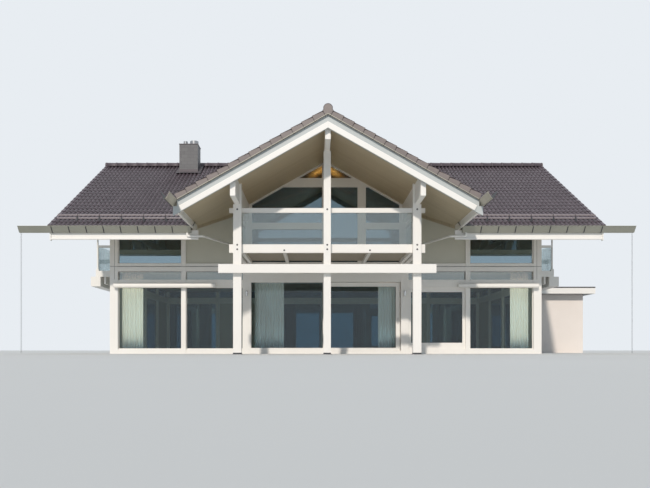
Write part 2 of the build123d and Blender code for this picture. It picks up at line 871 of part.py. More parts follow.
with BuildPart() as eaves_gutters:
    trough = [
        (-eave_reach, gutter_top),
        (-eave_reach, gutter_bottom),
        (-eave_reach - gutter_floor, gutter_bottom),
        (-eave_reach - gutter_width, gutter_top),
        (-eave_reach - gutter_width + 2 * gutter_wall, gutter_top),
        (-eave_reach - gutter_floor + gutter_wall, gutter_bottom + gutter_wall),
        (-eave_reach - gutter_wall, gutter_bottom + gutter_wall),
        (-eave_reach - gutter_wall, gutter_top),
    ]
    end_plate = trough[:4]
    for face, x_from, x_to in (
        (-1, -gutter_reach, -gutter_inner_end),
        (-1, gutter_inner_end, gutter_reach),
        (1, -gutter_reach, gutter_reach),
    ):
        extrude_along_x(trough, x_from, x_to, face)
        extrude_along_x(end_plate, x_from, x_from + gutter_wall, face)
        extrude_along_x(end_plate, x_to - gutter_wall, x_to, face)
hand_over(eaves_gutters, "eaves_gutters")

with BuildPart() as gable_gutters:
    inner_top = cross_half_width
    inner_floor = inner_top + (gable_gutter_width - gable_gutter_floor) / 2
    outer_floor = inner_floor + gable_gutter_floor
    outer_top = inner_top + gable_gutter_width
    for hand in (-1, 1):
        tapered_trough = [
            (hand * inner_top, gable_gutter_top),
            (hand * inner_top, gable_gutter_top - gable_gutter_flange),
            (hand * inner_floor, gable_gutter_bottom),
            (hand * outer_floor, gable_gutter_bottom),
            (hand * outer_top, gable_gutter_top),
            (hand * (outer_top - 2 * gutter_wall), gable_gutter_top),
            (hand * (outer_floor - gutter_wall), gable_gutter_bottom + gutter_wall),
            (hand * (inner_floor + gutter_wall), gable_gutter_bottom + gutter_wall),
            (hand * (inner_top + gutter_wall), gable_gutter_top - gable_gutter_flange),
            (hand * (inner_top + gutter_wall), gable_gutter_top),
        ]
        extrude_forward(tapered_trough, gable_gutter_back, gable_gutter_front)
hand_over(gable_gutters, "gable_gutters")

with BuildPart() as rain_chains:
    chain_row = eave_reach + gutter_floor / 2
    annex_top = annex_fascia_top + annex_cap_height
    for chain_x, chain_y, chain_foot in (
        (-rain_chain_at, -chain_row, 0),
        (rain_chain_at, -chain_row, 0),
        (-rain_chain_at, chain_row, 0),
        (rain_chain_at, chain_row, annex_top),
    ):
        with BuildSketch(Plane.XY.offset(chain_foot)) as chain:
            with Locations((chain_x, chain_y)):
                Circle(rain_chain_diameter / 2)
        extrude(chain.sketch, amount=gutter_bottom - chain_foot)
hand_over(rain_chains, "rain_chains")

# Drainpipes run under the eaves, round the fascia's end, to the wall beside the gable post

with BuildPart() as drainpipes:
    for hand in (-1, 1):
        outlet = (hand * drainpipe_outlet_at, -eave_reach - gutter_floor / 2, gutter_bottom)
        turn = (outlet[0], outlet[1], drainpipe_level)
        fascia_pass = (hand * drainpipe_pass_at, outlet[1], drainpipe_level)
        wall_level = drainpipe_level - drainpipe_fall
        wall_end = (hand * drainpipe_wall_at, -house_half_depth + 2 * panel_setback, wall_level)
        with BuildLine() as route:
            FilletPolyline(outlet, turn, fascia_pass, wall_end, radius=drainpipe_diameter * 0.7)
        with BuildSketch(Plane(origin=outlet, z_dir=(0, 0, -1))) as bore:
            Circle(drainpipe_diameter / 2)
        sweep(bore.sketch, path=route.line)
    with Locations((0, 0, drainpipe_level)):
        panel_side = 2 * (house_half_depth - panel_setback)
        Box(2 * drainpipe_outlet_at, panel_side, 4 * drainpipe_diameter, mode=Mode.SUBTRACT)
hand_over(drainpipes, "drainpipes")

# Snow guards: two pipes on brackets, above each eave

with BuildPart() as snow_guards:
    guard_y = eave_reach - snow_guard_back
    guard_foot = main_tile_top(guard_y)
    for face, x_from, x_to in (
        (-1, -deck_half_length, -cross_half_width - gable_gutter_width),
        (-1, cross_half_width + gable_gutter_width, deck_half_length),
        (1, -deck_half_length, deck_half_length),
    ):
        length = x_to - x_from
        for lift in snow_pipe_lift:
            with Locations(((x_from + x_to) / 2, face * guard_y, guard_foot + lift)):
                Cylinder(snow_pipe_diameter / 2, length, rotation=(0, 90, 0))
        brackets = int(length // snow_bracket_spacing)
        bracket_height = 2 * (snow_pipe_lift[1] + snow_pipe_diameter)
        with Locations(((x_from + x_to) / 2, face * guard_y, guard_foot)):
            with GridLocations(snow_bracket_spacing, snow_bracket_spacing, brackets, 1):
                Box(snow_bracket_thickness, snow_bracket_depth, bracket_height)
    keep_above_tiles((-roof_half_length, roof_half_length))
hand_over(snow_guards, "snow_guards")

# Chimney stack on the front slope and its two flues

with BuildPart() as chimney_stack:
    stack_y = (chimney_front, chimney_front + chimney_depth)
    stack_x = (chimney_centre_x - chimney_width / 2, chimney_centre_x + chimney_width / 2)
    block(stack_x, stack_y, (main_tile_top(eave_reach), chimney_top))
    keep_above_tiles(stack_x)
hand_over(chimney_stack, "chimney_stack")

with BuildPart() as chimney_flues:
    flue_y = chimney_front + chimney_depth / 2
    flues = ((small_flue_at, small_flue_diameter), (large_flue_at, large_flue_diameter))
    for flue_at, diameter in flues:
        with BuildSketch(Plane.XY.offset(chimney_top)) as flue:
            with Locations((chimney_centre_x + flue_at, flue_y)):
                Circle(diameter / 2)
                Circle(diameter / 2 - flue_wall, mode=Mode.SUBTRACT)
        extrude(flue.sketch, amount=flue_height)
hand_over(chimney_flues, "chimney_flues")

# Balcony

post_back = balcony_front + balcony_post_depth
edge_back = post_back + edge_beam_depth
rail_back = post_back + handrail_depth
edge_beam_top = edge_beam_bottom + edge_beam_height
side_beam_outer = gable_post_at + gable_post_width / 2

# The outer posts carry a purlin and pass it on its inner side, up to the soffit
with BuildPart() as balcony_posts:
    for hand in (-1, 1):
        inner = gable_post_at - balcony_post_width / 2
        outer = gable_post_at + balcony_post_width / 2
        purlin_side = gable_post_at - side_purlin_width / 2
        outer_post = [
            (hand * inner, 0),
            (hand * outer, 0),
            (hand * outer, side_purlin_bottom),
            (hand * purlin_side, side_purlin_bottom),
            (hand * purlin_side, cross_underside(purlin_side)),
            (hand * inner, cross_underside(inner)),
        ]
        extrude_forward(outer_post, post_back, balcony_front)
    half = balcony_centre_post_width / 2
    block((-half, half), (balcony_front, post_back), (0, ridge_purlin_bottom))
hand_over(balcony_posts, "balcony_posts")

with BuildPart() as balcony_beams:
    low_x = (-low_beam_half_length, low_beam_half_length)
    low_up = (low_beam_bottom, low_beam_bottom + low_beam_height)
    block(low_x, (balcony_front - low_beam_depth, balcony_front), low_up)
    edge_x = (-edge_beam_half_length, edge_beam_half_length)
    edge_up = (edge_beam_bottom, edge_beam_top)
    block(edge_x, (post_back, edge_back), edge_up)
hand_over(balcony_beams, "balcony_beams")

with BuildPart() as balcony_joists:
    joist_y = (edge_back, -house_half_depth)
    joist_up = (edge_beam_bottom, edge_beam_bottom + joist_height)
    for hand in (-1, 1):
        block(spread(hand, (gable_post_at, side_beam_outer)), joist_y, edge_up)
    for along in joist_rows:
        block((along - joist_width / 2, along + joist_width / 2), joist_y, joist_up)
hand_over(balcony_joists, "balcony_joists")

with BuildPart() as balcony_deck:
    deck_up = (joist_up[1], joist_up[1] + deck_board_thickness)
    block((-gable_post_at, gable_post_at), joist_y, deck_up)
hand_over(balcony_deck, "balcony_deck")

with BuildPart() as balcony_handrails:
    rail_up = (handrail_bottom, handrail_bottom + handrail_height)
    block(edge_x, (post_back, rail_back), rail_up)
    side_rail = (side_rail_middle - handrail_depth / 2, side_rail_middle + handrail_depth / 2)
    for hand in (-1, 1):
        block(spread(hand, side_rail), (rail_back + joint_gap, -house_half_depth), rail_up)
hand_over(balcony_handrails, "balcony_handrails")

with BuildPart() as balcony_glass:
    pane_up = (edge_beam_top, handrail_bottom)
    pane_front = post_back + (handrail_depth - balustrade_glass) / 2
    pane_y = (pane_front, pane_front + balustrade_glass)
    front_pane = (balustrade_glass, side_rail_middle - balustrade_glass)
    side_pane = (side_rail_middle - balustrade_glass / 2, side_rail_middle + balustrade_glass / 2)
    for hand in (-1, 1):
        block(spread(hand, front_pane), pane_y, pane_up)
        block(spread(hand, side_pane), (pane_front, -house_half_depth), pane_up)
hand_over(balcony_glass, "balcony_glass")

# Narrow balconies on the gable ends

stub_at = side_deck_reach + side_stub_width / 2

with BuildPart() as side_balcony_decks:
    for hand in (-1, 1):
        deck_x = spread(hand, (house_half_length, side_deck_reach))
        deck_y = (-side_balcony_half_length, side_balcony_half_length)
        block(deck_x, deck_y, (side_deck_bottom, side_deck_top))
hand_over(side_balcony_decks, "side_balcony_decks")

with BuildPart() as side_balcony_beams:
    for hand in (-1, 1):
        beam_x = spread(hand, (side_beam_from, side_beam_to))
        beam_y = (-side_balcony_half_length, side_balcony_half_length)
        block(beam_x, beam_y, (side_beam_bottom, side_deck_bottom))
        for turn in range(1, 5):
            slat_at = side_beam_from - turn * side_slat_spacing
            slat_x = spread(hand, (slat_at, slat_at + side_slat_width))
            block(slat_x, beam_y, (side_slat_bottom, side_deck_bottom))
hand_over(side_balcony_beams, "side_balcony_beams")

with BuildPart() as side_balcony_posts:
    stub_half = side_stub_width / 2
    for hand in (-1, 1):
        for end in (-1, 1):
            post_y = end * (side_balcony_half_length - stub_half)
            stub_x = (hand * stub_at - stub_half, hand * stub_at + stub_half)
            block(stub_x, (post_y - stub_half, post_y + stub_half), (side_deck_bottom, side_stub_top))
            rod_half = side_rod_width / 2
            rod_x = (hand * stub_at - rod_half, hand * stub_at + rod_half)
            block(rod_x, (post_y - rod_half, post_y + rod_half), (side_stub_top, roof_sky))
    trim_to_main_roof()
hand_over(side_balcony_posts, "side_balcony_posts")

with BuildPart() as side_balcony_rails:
    for hand in (-1, 1):
        for end in (-1, 1):
            screen_y = end * (side_balcony_half_length - stub_half)
            rail_x = spread(hand, (house_half_length, stub_at - rod_half))
            rail_up = (side_screen_top - side_screen_rail, side_screen_top)
            block(rail_x, (screen_y - rod_half, screen_y + rod_half), rail_up)
hand_over(side_balcony_rails, "side_balcony_rails")

with BuildPart() as side_balcony_glass:
    glass_half = balustrade_glass / 2
    for hand in (-1, 1):
        for end in (-1, 1):
            screen_y = end * (side_balcony_half_length - stub_half)
            pane_x = spread(hand, (house_half_length, side_deck_reach))
            pane_up = (side_deck_top, side_screen_top - side_screen_rail)
            block(pane_x, (screen_y - glass_half, screen_y + glass_half), pane_up)
        long_x = spread(hand, (stub_at - glass_half, stub_at + glass_half))
        long_y = side_balcony_half_length - side_stub_width
        block(long_x, (-long_y, long_y), (side_deck_bottom, side_screen_top))
hand_over(side_balcony_glass, "side_balcony_glass")

# Annex with a flat roof: walls butt with a fine joint so that each stays its own solid

with BuildPart() as annex_walls:
    wall_up = (0, annex_fascia_bottom)
    annex_x = (house_half_length, annex_right)
    block(annex_x, (annex_front, annex_front + wall_depth), wall_up)
    block(annex_x, (annex_back - wall_depth, annex_back), wall_up)
    between_y = (annex_front + wall_depth + joint_gap, annex_back - wall_depth - joint_gap)
    block((annex_right - wall_depth, annex_right), between_y, wall_up)
    block((house_half_length, house_half_length + wall_depth), between_y, wall_up)
hand_over(annex_walls, "annex_walls")

with BuildPart() as annex_roof:
    roof_x = (house_half_length, annex_right + annex_overhang - annex_fascia_thickness)
    roof_front = annex_front - annex_overhang + annex_fascia_thickness
    roof_back = annex_back + annex_overhang - annex_fascia_thickness
    block(roof_x, (roof_front, roof_back), (annex_fascia_bottom, annex_fascia_top))
    cap_x = (house_half_length, annex_right + annex_overhang)
    cap_y = (annex_front - annex_overhang, annex_back + annex_overhang)
    block(cap_x, cap_y, (annex_fascia_top, annex_fascia_top + annex_cap_height))
hand_over(annex_roof, "annex_roof")

with BuildPart() as annex_fascias:
    fascia_up = (annex_fascia_bottom, annex_fascia_top)
    block(cap_x, (cap_y[0], roof_front), fascia_up)
    block(cap_x, (roof_back, cap_y[1]), fascia_up)
    block((roof_x[1], cap_x[1]), (roof_front + joint_gap, roof_back - joint_gap), fascia_up)
hand_over(annex_fascias, "annex_fascias")

# Awning cassettes, wall lamps and curtains

with BuildPart() as awning_cassettes:
    for span in awning_spans:
        cassette_y = (-house_half_depth - awning_depth, -house_half_depth)
        block(span, cassette_y, (awning_bottom, awning_bottom + awning_height))
hand_over(awning_cassettes, "awning_cassettes")

with BuildPart() as wall_lamps:
    for along in (-gable_post_at, gable_post_at):
        with Locations((along, -house_half_depth - lamp_diameter / 2, lamp_level + lamp_height / 2)):
            Cylinder(lamp_diameter / 2, lamp_height)
hand_over(wall_lamps, "wall_lamps")

with BuildPart() as curtains:
    for span in curtain_spans:
        curtain_y = -inner_half_depth + curtain_back_from_wall
        hang = (slab_thickness + curtain_clearance, floor_beam_bottom - curtain_hang_gap)
        block(span, (curtain_y - curtain_depth, curtain_y), hang)
hand_over(curtains, "curtains")
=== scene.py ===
import math
import random

import bmesh
import bpy
from mathutils import Euler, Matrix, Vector


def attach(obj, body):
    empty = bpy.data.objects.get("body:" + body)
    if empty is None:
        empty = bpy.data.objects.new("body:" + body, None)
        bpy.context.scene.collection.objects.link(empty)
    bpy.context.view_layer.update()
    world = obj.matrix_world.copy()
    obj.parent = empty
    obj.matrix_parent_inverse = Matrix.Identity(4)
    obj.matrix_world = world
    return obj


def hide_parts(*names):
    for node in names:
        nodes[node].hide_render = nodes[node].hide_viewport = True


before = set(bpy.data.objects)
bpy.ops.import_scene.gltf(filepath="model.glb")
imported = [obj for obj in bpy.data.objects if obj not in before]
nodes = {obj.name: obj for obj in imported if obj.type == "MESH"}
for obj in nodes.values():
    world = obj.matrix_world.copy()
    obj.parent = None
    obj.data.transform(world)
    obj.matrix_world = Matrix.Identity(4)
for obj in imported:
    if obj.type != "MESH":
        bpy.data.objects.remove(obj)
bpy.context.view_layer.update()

print("frame loaded")


# Small helpers for colours, nodes and meshes

def linear(hexColour):  # sRGB hex to the linear values that Blender works in
    parts = [int(hexColour[i:i + 2], 16) / 255 for i in (1, 3, 5)]
    return tuple(c / 12.92 if c <= 0.04045 else ((c + 0.055) / 1.055) ** 2.4 for c in parts) + (1.0,)


def addNode(tree, kind, feeds=None, **settings):
    # feeds: an input's name or number to a value, a hex colour, an output, or a node (its first output)
    node = tree.nodes.new(kind)
    for name, value in settings.items():
        setattr(node, name, value)
    for key, feed in (feeds or {}).items():
        if isinstance(feed, bpy.types.Node):
            feed = feed.outputs[0]
        if isinstance(feed, bpy.types.NodeSocket):
            tree.links.new(feed, node.inputs[key])
        else:
            node.inputs[key].default_value = linear(feed) if str(feed).startswith("#") else feed
    return node


def maths(tree, operation, *values):
    return addNode(tree, "ShaderNodeMath", dict(enumerate(values)), operation=operation)


def tint(tree, low, high, factor):  # a colour between two others
    return addNode(tree, "ShaderNodeMix", {"Factor": factor, 6: low, 7: high}, data_type="RGBA").outputs[2]


def newMaterial(name):  # an empty material, and the object coordinates that its patterns read
    material = bpy.data.materials.new(name)
    material.use_nodes = True
    tree = material.node_tree
    tree.nodes.clear()
    return material, tree, addNode(tree, "ShaderNodeTexCoord").outputs["Object"]


def surfaced(material, surface):  # one Principled surface with these values and patterns
    shader = addNode(material.node_tree, "ShaderNodeBsdfPrincipled", surface)
    addNode(material.node_tree, "ShaderNodeOutputMaterial", {"Surface": shader})
    return material


def placed(name, data):  # a new object in the scene
    thing = bpy.data.objects.new(name, data)
    bpy.context.scene.collection.objects.link(thing)
    return thing


def meshData(name, mesh, material=None):
    data = bpy.data.meshes.new(name)
    mesh.to_mesh(data)
    mesh.free()
    if material:
        data.materials.append(material)
    return data


def outward(mesh):
    bmesh.ops.recalc_face_normals(mesh, faces=mesh.faces)
    return mesh


def rectangle(low, high, near, far):
    return [(low, near), (high, near), (high, far), (low, far)]


def bridge(mesh, rings, closed=True, smooth=False):  # faces between rings that follow each other
    count = len(rings[0])
    faces = []
    for first, second in zip(rings, rings[1:]):
        for i in range(count if closed else count - 1):
            j = (i + 1) % count
            faces.append(mesh.faces.new((first[i], first[j], second[j], second[i])))
            faces[-1].smooth = smooth
    return faces


def capEnds(mesh, rings):
    mesh.faces.new(rings[0][::-1])
    mesh.faces.new(rings[-1])


def prism(mesh, section, place, run):  # a closed section swept along a vector
    near = [mesh.verts.new(place(*p)) for p in section]
    far = [mesh.verts.new(v.co + Vector(run)) for v in near]
    bridge(mesh, [near, far])
    capEnds(mesh, [near, far])


def turned(mesh, profile, centre, steps=24):  # turns a profile of (radius, height) round the vertical
    angles = [2 * math.pi * i / steps for i in range(steps)]
    rings = [[mesh.verts.new((centre[0] + r * math.cos(a), centre[1] + r * math.sin(a), z)) for a in angles]
             for r, z in profile]
    bridge(mesh, rings, smooth=True)
    capEnds(mesh, rings)


def joinMeshes(name, meshes):  # several meshes as one, with their materials and attributes kept
    parts = [placed(name + "Part", mesh) for mesh in meshes]
    with bpy.context.temp_override(active_object=parts[0], object=parts[0], selected_objects=parts,
                                   selected_editable_objects=parts):
        bpy.ops.object.join()
    joined = parts[0].data
    bpy.data.objects.remove(parts[0])
    joined.name = name
    return joined


def finishPiece(name, mesh, slot, replaces=(), body="house", bevel=0.0):
    piece = placed(name, mesh)
    if bevel:
        rounding = piece.modifiers.new("edges", "BEVEL")
        rounding.width = bevel
        rounding.segments = 2
        rounding.limit_method = "ANGLE"
    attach(piece, body)
    if replaces:
        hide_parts(*replaces)
    return piece


def solidPiece(name, mesh, material, slot, replaces=(), **rest):  # the same, straight from a bmesh
    return finishPiece(name, meshData(name, outward(mesh), material), slot, replaces, **rest)


# Main lines of the house, in metres

wallX, wallY = 6.83, 4.0  # outer faces of the wall posts
postX = 2.5               # the balcony's outer posts, with a third one in the middle
quarter = math.pi / 2
pitch = math.radians(29.5)
slopeRise = math.tan(pitch)
roof = {
    "halfLength": 8.14,
    "deckHalf": 8.08,
    "eave": 5.75,
    "deckEave": 5.70,
    "deckAtEave": 3.62,
    "crossRidgeDeck": 6.26,
    "crossHalf": 3.99,
    "crossDeckHalf": 3.94,
    "crossFront": 7.97,
    "crossDeckFront": 7.95,
    "valleyReach": 4.666,    # from the main eave to where the cross ridge meets the main slope
    "tileDepth": 0.178,
}
valleyOffset = roof["deckEave"] - roof["valleyReach"]  # the valley runs where |y| is |x| plus this
guard = {"y": 5.35, "lifts": (0.042, 0.132), "radius": 0.016}  # the snow guards' pipes, over the tiles


def mainDeck(y):
    return roof["deckAtEave"] + (roof["deckEave"] - abs(y)) * slopeRise


def mainTop(y):
    return mainDeck(y) + roof["tileDepth"]


def crossDeck(x):
    return roof["crossRidgeDeck"] - abs(x) * slopeRise


def crossTop(x):
    return crossDeck(x) + roof["tileDepth"]


# Materials

def paintedTimber(name, low, high, roughness=0.42):
    # opaque paint on planed spruce: an even satin coat that shows faint grain and slow shifts in shade
    material, tree, where = newMaterial(name)
    lines = 1 / 0.02  # real grain lines are 3 mm apart, drawn at 20 mm so that they show
    stretch = addNode(tree, "ShaderNodeMapping", {"Vector": where, "Scale": (lines, lines, lines * 0.1)})
    grain = addNode(tree, "ShaderNodeTexNoise", {"Vector": stretch, "Scale": 1.0, "Detail": 3.0})
    slow = addNode(tree, "ShaderNodeTexNoise", {"Vector": where, "Scale": 0.8, "Detail": 4.0})
    both = maths(tree, "MULTIPLY_ADD", grain, 0.35, maths(tree, "MULTIPLY", slow, 0.65))
    return surfaced(material, {
        "Base Color": tint(tree, low, high, both),
        "Roughness": maths(tree, "MULTIPLY_ADD", slow, 0.16, roughness - 0.08),
        "IOR": 1.5,
        "Normal": addNode(tree, "ShaderNodeBump", {"Height": grain, "Strength": 0.15, "Distance": 0.002}),
    })


def mottled(name, low, high, scale, roughness, grit=0.0, gritHeight=0.001, metal=0.0):
    # a surface whose colour and gloss drift between two states, with fine grit where it has some
    material, tree, where = newMaterial(name)
    patches = addNode(tree, "ShaderNodeTexNoise", {"Vector": where, "Scale": scale, "Detail": 6.0})
    surface = {"Metallic": metal} if metal else {"IOR": 1.5}
    surface["Base Color"] = tint(tree, low, high, patches)
    surface["Roughness"] = maths(tree, "MULTIPLY_ADD", patches, 0.2, roughness - 0.1)
    if grit:
        fine = addNode(tree, "ShaderNodeTexNoise", {"Vector": where, "Scale": grit, "Detail": 3.0})
        surface["Normal"] = addNode(tree, "ShaderNodeBump",
                                    {"Height": fine, "Strength": 0.3, "Distance": gritHeight})
    return surfaced(material, surface)


def boardColour(tree, where, width, shades, joint):
    # boards of one width along X, each its own shade, with a shadow line 6 mm wide at each joint
    parts = addNode(tree, "ShaderNodeSeparateXYZ", {0: where})
    turns = maths(tree, "DIVIDE", parts.outputs[1], width)
    line = maths(tree, "LESS_THAN", maths(tree, "FRACT", turns), 0.006 / width)
    own = addNode(tree, "ShaderNodeTexWhiteNoise", {"W": maths(tree, "FLOOR", turns)}, noise_dimensions="1D")
    grain = addNode(tree, "ShaderNodeTexNoise", {"Vector": where, "Scale": 5.0, "Detail": 6.0})
    shade = maths(tree, "MULTIPLY_ADD", own, 0.6, maths(tree, "MULTIPLY", grain, 0.4))
    return tint(tree, tint(tree, shades[0], shades[1], shade), joint, line), line


def roofLining():
    # tongued boards under the roof: matt beige paint outside, warm varnished pine inside the house
    material, tree, where = newMaterial("linedRoofBoards")
    outside, line = boardColour(tree, where, 0.2, ("#b7a98d", "#c2b59b"), "#92856b")
    inside, _ = boardColour(tree, where, 0.12, ("#c98f4f", "#dba566"), "#7d5227")
    parts = addNode(tree, "ShaderNodeSeparateXYZ", {0: where})
    length = maths(tree, "LESS_THAN", maths(tree, "ABSOLUTE", parts.outputs[0]), wallX - 0.13)
    depth = maths(tree, "LESS_THAN", maths(tree, "ABSOLUTE", parts.outputs[1]), wallY - 0.1)
    return surfaced(material, {
        "Base Color": tint(tree, outside, inside, maths(tree, "MULTIPLY", depth, length)),
        "Roughness": 0.5,
        "IOR": 1.5,
        "Normal": addNode(tree, "ShaderNodeBump", {"Height": line, "Strength": 0.4, "Distance": 0.004},
                          invert=True),
    })


gardenPanes = -3.8  # the garden front's panes all lie in front of this Y


def glassPane(name, tints, mirrors, height=0.0, settings=None):
    # insulating glass with a clean reflection that waves slightly; its tint, and how far its coating mirrors,
    # hold everywhere or are given for the garden front below and above one height and for the other walls
    material, tree, where = newMaterial(name)
    surface = {"Roughness": 0.0, "IOR": 1.5, "Transmission Weight": 1.0}
    surface.update(settings or {})
    parts = addNode(tree, "ShaderNodeSeparateXYZ", {0: where})
    upper = maths(tree, "GREATER_THAN", parts.outputs[2], height)
    other = maths(tree, "GREATER_THAN", parts.outputs[1], gardenPanes)
    surface["Base Color"] = tints
    if not isinstance(tints, str):
        surface["Base Color"] = tint(tree, tint(tree, tints[0], tints[1], upper), tints[2], other)
    surface["Metallic"] = mirrors
    if not isinstance(mirrors, float):
        front = maths(tree, "MULTIPLY_ADD", upper, mirrors[1] - mirrors[0], mirrors[0])
        change = maths(tree, "SUBTRACT", mirrors[2], front)
        surface["Metallic"] = maths(tree, "MULTIPLY_ADD", other, change, front)
    wave = addNode(tree, "ShaderNodeTexNoise", {"Vector": where, "Scale": 0.6, "Detail": 1.0})
    surface["Normal"] = addNode(tree, "ShaderNodeBump", {"Height": wave, "Strength": 0.06, "Distance": 0.02})
    return surfaced(material, surface)


def clayTileMaterial(name, low, high):
    # engobed clay: aubergine brown with a low sheen, each tile its own shade, with painted shade in the waves'
    # hollows, at the recessed joints of the edge tiles and down the sides of the ridge caps
    material, tree, where = newMaterial(name)
    own = addNode(tree, "ShaderNodeAttribute", attribute_name="ownShade")
    paintedShade = addNode(tree, "ShaderNodeAttribute", attribute_name="paintedShade")
    spots = addNode(tree, "ShaderNodeTexNoise", {"Vector": where, "Scale": 7.0, "Detail": 8.0})
    slow = addNode(tree, "ShaderNodeTexNoise", {"Vector": where, "Scale": 0.5, "Detail": 2.0})
    weather = maths(tree, "MULTIPLY_ADD", spots, 0.35, maths(tree, "MULTIPLY", slow, 0.35))
    shade = maths(tree, "MULTIPLY_ADD", own.outputs["Fac"], 0.3, weather)
    # painted shade: the marked points are drawn towards a near-black brown
    paintedShadeAmount = maths(tree, "MULTIPLY", paintedShade.outputs["Fac"], 0.75)
    grit = addNode(tree, "ShaderNodeTexNoise", {"Vector": where, "Scale": 300.0, "Detail": 3.0})
    return surfaced(material, {
        "Base Color": tint(tree, tint(tree, low, high, shade), "#2b2628", paintedShadeAmount),
        "Roughness": maths(tree, "MULTIPLY_ADD", spots, 0.2, 0.36),
        "IOR": 1.5,
        "Normal": addNode(tree, "ShaderNodeBump", {"Height": grit, "Strength": 0.2, "Distance": 0.001}),
    })


def slateMaterial():
    # slate cladding: shingles in rows 120 mm high whose split faces have a dull shine
    material, tree, where = newMaterial("slateCladding")
    upright = addNode(tree, "ShaderNodeMapping", {"Vector": where, "Rotation": (quarter, 0, 0)})
    rows = addNode(tree, "ShaderNodeTexBrick", {
        "Vector": upright, "Scale": 1.0, "Mortar Size": 0.003, "Brick Width": 0.22, "Row Height": 0.12,
        "Bias": 0.0, "Color1": "#5f5f60", "Color2": "#6a6a6a", "Mortar": "#505051"})
    split = addNode(tree, "ShaderNodeTexNoise", {"Vector": where, "Scale": 30.0, "Detail": 6.0})
    return surfaced(material, {
        "Base Color": tint(tree, rows, "#77767a", maths(tree, "MULTIPLY", split, 0.3)),
        "Roughness": 0.55,
        "IOR": 1.5,
        "Normal": addNode(tree, "ShaderNodeBump",
                          {"Height": rows.outputs["Fac"], "Strength": 0.3, "Distance": 0.004}, invert=True),
    })


def snowGuardMaterial():
    # powder coat in the tiles' brown, painted lighter on the pipes as the sun lights them, and darker on the
    # brackets that hold them
    material, tree, where = newMaterial("brownPowderCoat")
    parts = addNode(tree, "ShaderNodeSeparateXYZ", {0: where})
    away = maths(tree, "SUBTRACT", maths(tree, "ABSOLUTE", parts.outputs[1]), guard["y"])
    near = []
    for lift in guard["lifts"]:
        rise = maths(tree, "SUBTRACT", parts.outputs[2], mainTop(guard["y"]) + lift)
        square = maths(tree, "MULTIPLY_ADD", away, away, maths(tree, "MULTIPLY", rise, rise))
        near.append(maths(tree, "LESS_THAN", square, (guard["radius"] + 0.0005) ** 2))
    wear = addNode(tree, "ShaderNodeTexNoise", {"Vector": where, "Scale": 12.0, "Detail": 5.0})
    # painted light: the pipes are drawn lighter than the tiles' brown
    pipes = tint(tree, "#a3989a", "#b5aaaa", wear)
    onPipe = maths(tree, "MAXIMUM", near[0], near[1])
    colour = tint(tree, "#352e31", pipes, onPipe)
    return surfaced(material, {"Base Color": colour, "Roughness": 0.35, "IOR": 1.5})


def gableGutterMaterial():
    # zinc gutter: beige patina on the inner wall, and painted shade that darkens the outer wall
    material, tree, where = newMaterial("zincPatinaAndPaintedShade")
    parts = addNode(tree, "ShaderNodeSeparateXYZ", {0: where})
    outer = maths(tree, "GREATER_THAN", maths(tree, "ABSOLUTE", parts.outputs[0]), roof["crossHalf"] + 0.072)
    wear = addNode(tree, "ShaderNodeTexNoise", {"Vector": where, "Scale": 6.0, "Detail": 5.0})
    pale = tint(tree, "#aaa597", "#bdb7aa", wear)
    # painted shade on the outer wall, which faces away from the sun
    dark = tint(tree, "#33383b", "#454b4e", wear)
    colour = tint(tree, pale, dark, outer)
    return surfaced(material, {"Base Color": colour, "Metallic": 0.35, "Roughness": 0.5})


def curtainMaterial():
    # sheer polyester voile: pale, matt and soft, with upright threads
    material, tree, _ = newMaterial("sheerVoile")
    cloth = addNode(tree, "ShaderNodeUVMap", uv_map="cloth")
    threads = 1 / 0.006  # real threads are 0.3 mm apart, drawn at 6 mm so that they show
    stretch = addNode(tree, "ShaderNodeMapping", {"Vector": cloth, "Scale": (threads, threads * 0.04, 1.0)})
    weave = addNode(tree, "ShaderNodeTexNoise", {"Vector": stretch, "Scale": 1.0, "Detail": 2.0})
    return surfaced(material, {
        "Base Color": tint(tree, "#ece1d9", "#f7eae5", weave),
        "Roughness": 0.9,
        "IOR": 1.45,
        "Sheen Weight": 0.3,
        "Normal": addNode(tree, "ShaderNodeBump", {"Height": weave, "Strength": 0.1, "Distance": 0.0005}),
    })


whitePaint = paintedTimber("whitePaintedSpruce", "#e9e6e0", "#f3f1ec")
greyPaint = paintedTimber("greyPaintedSpruce", "#b3b9b9", "#c2c7c6")
greyedDeck = paintedTimber("greyedLarch", "#9b9180", "#b0a798", 0.6)
liningBoards = roofLining()
wallRender = mottled("fineRender", "#c6c5b8", "#d0cfc2", 2.0, 0.85, 500.0)  # 2 mm grit
annexRender = mottled("warmWhiteRender", "#e6ddd5", "#efe7e0", 2.0, 0.85, 500.0)  # 2 mm grit
stoneFloor = mottled("honedStoneFloor", "#6f685d", "#837c70", 3.0, 0.45, 300.0)
darkCoating = mottled("anthraciteCoatedSteel", "#343438", "#434246", 3.0, 0.4, 500.0)
whiteCoating = mottled("whitePowderCoat", "#eae8e2", "#f2f0eb", 4.0, 0.35, 900.0)  # orange peel 1 mm wide
sealRubber = mottled("epdmSeal", "#2b2d2f", "#36383a", 20.0, 0.7, 400.0)
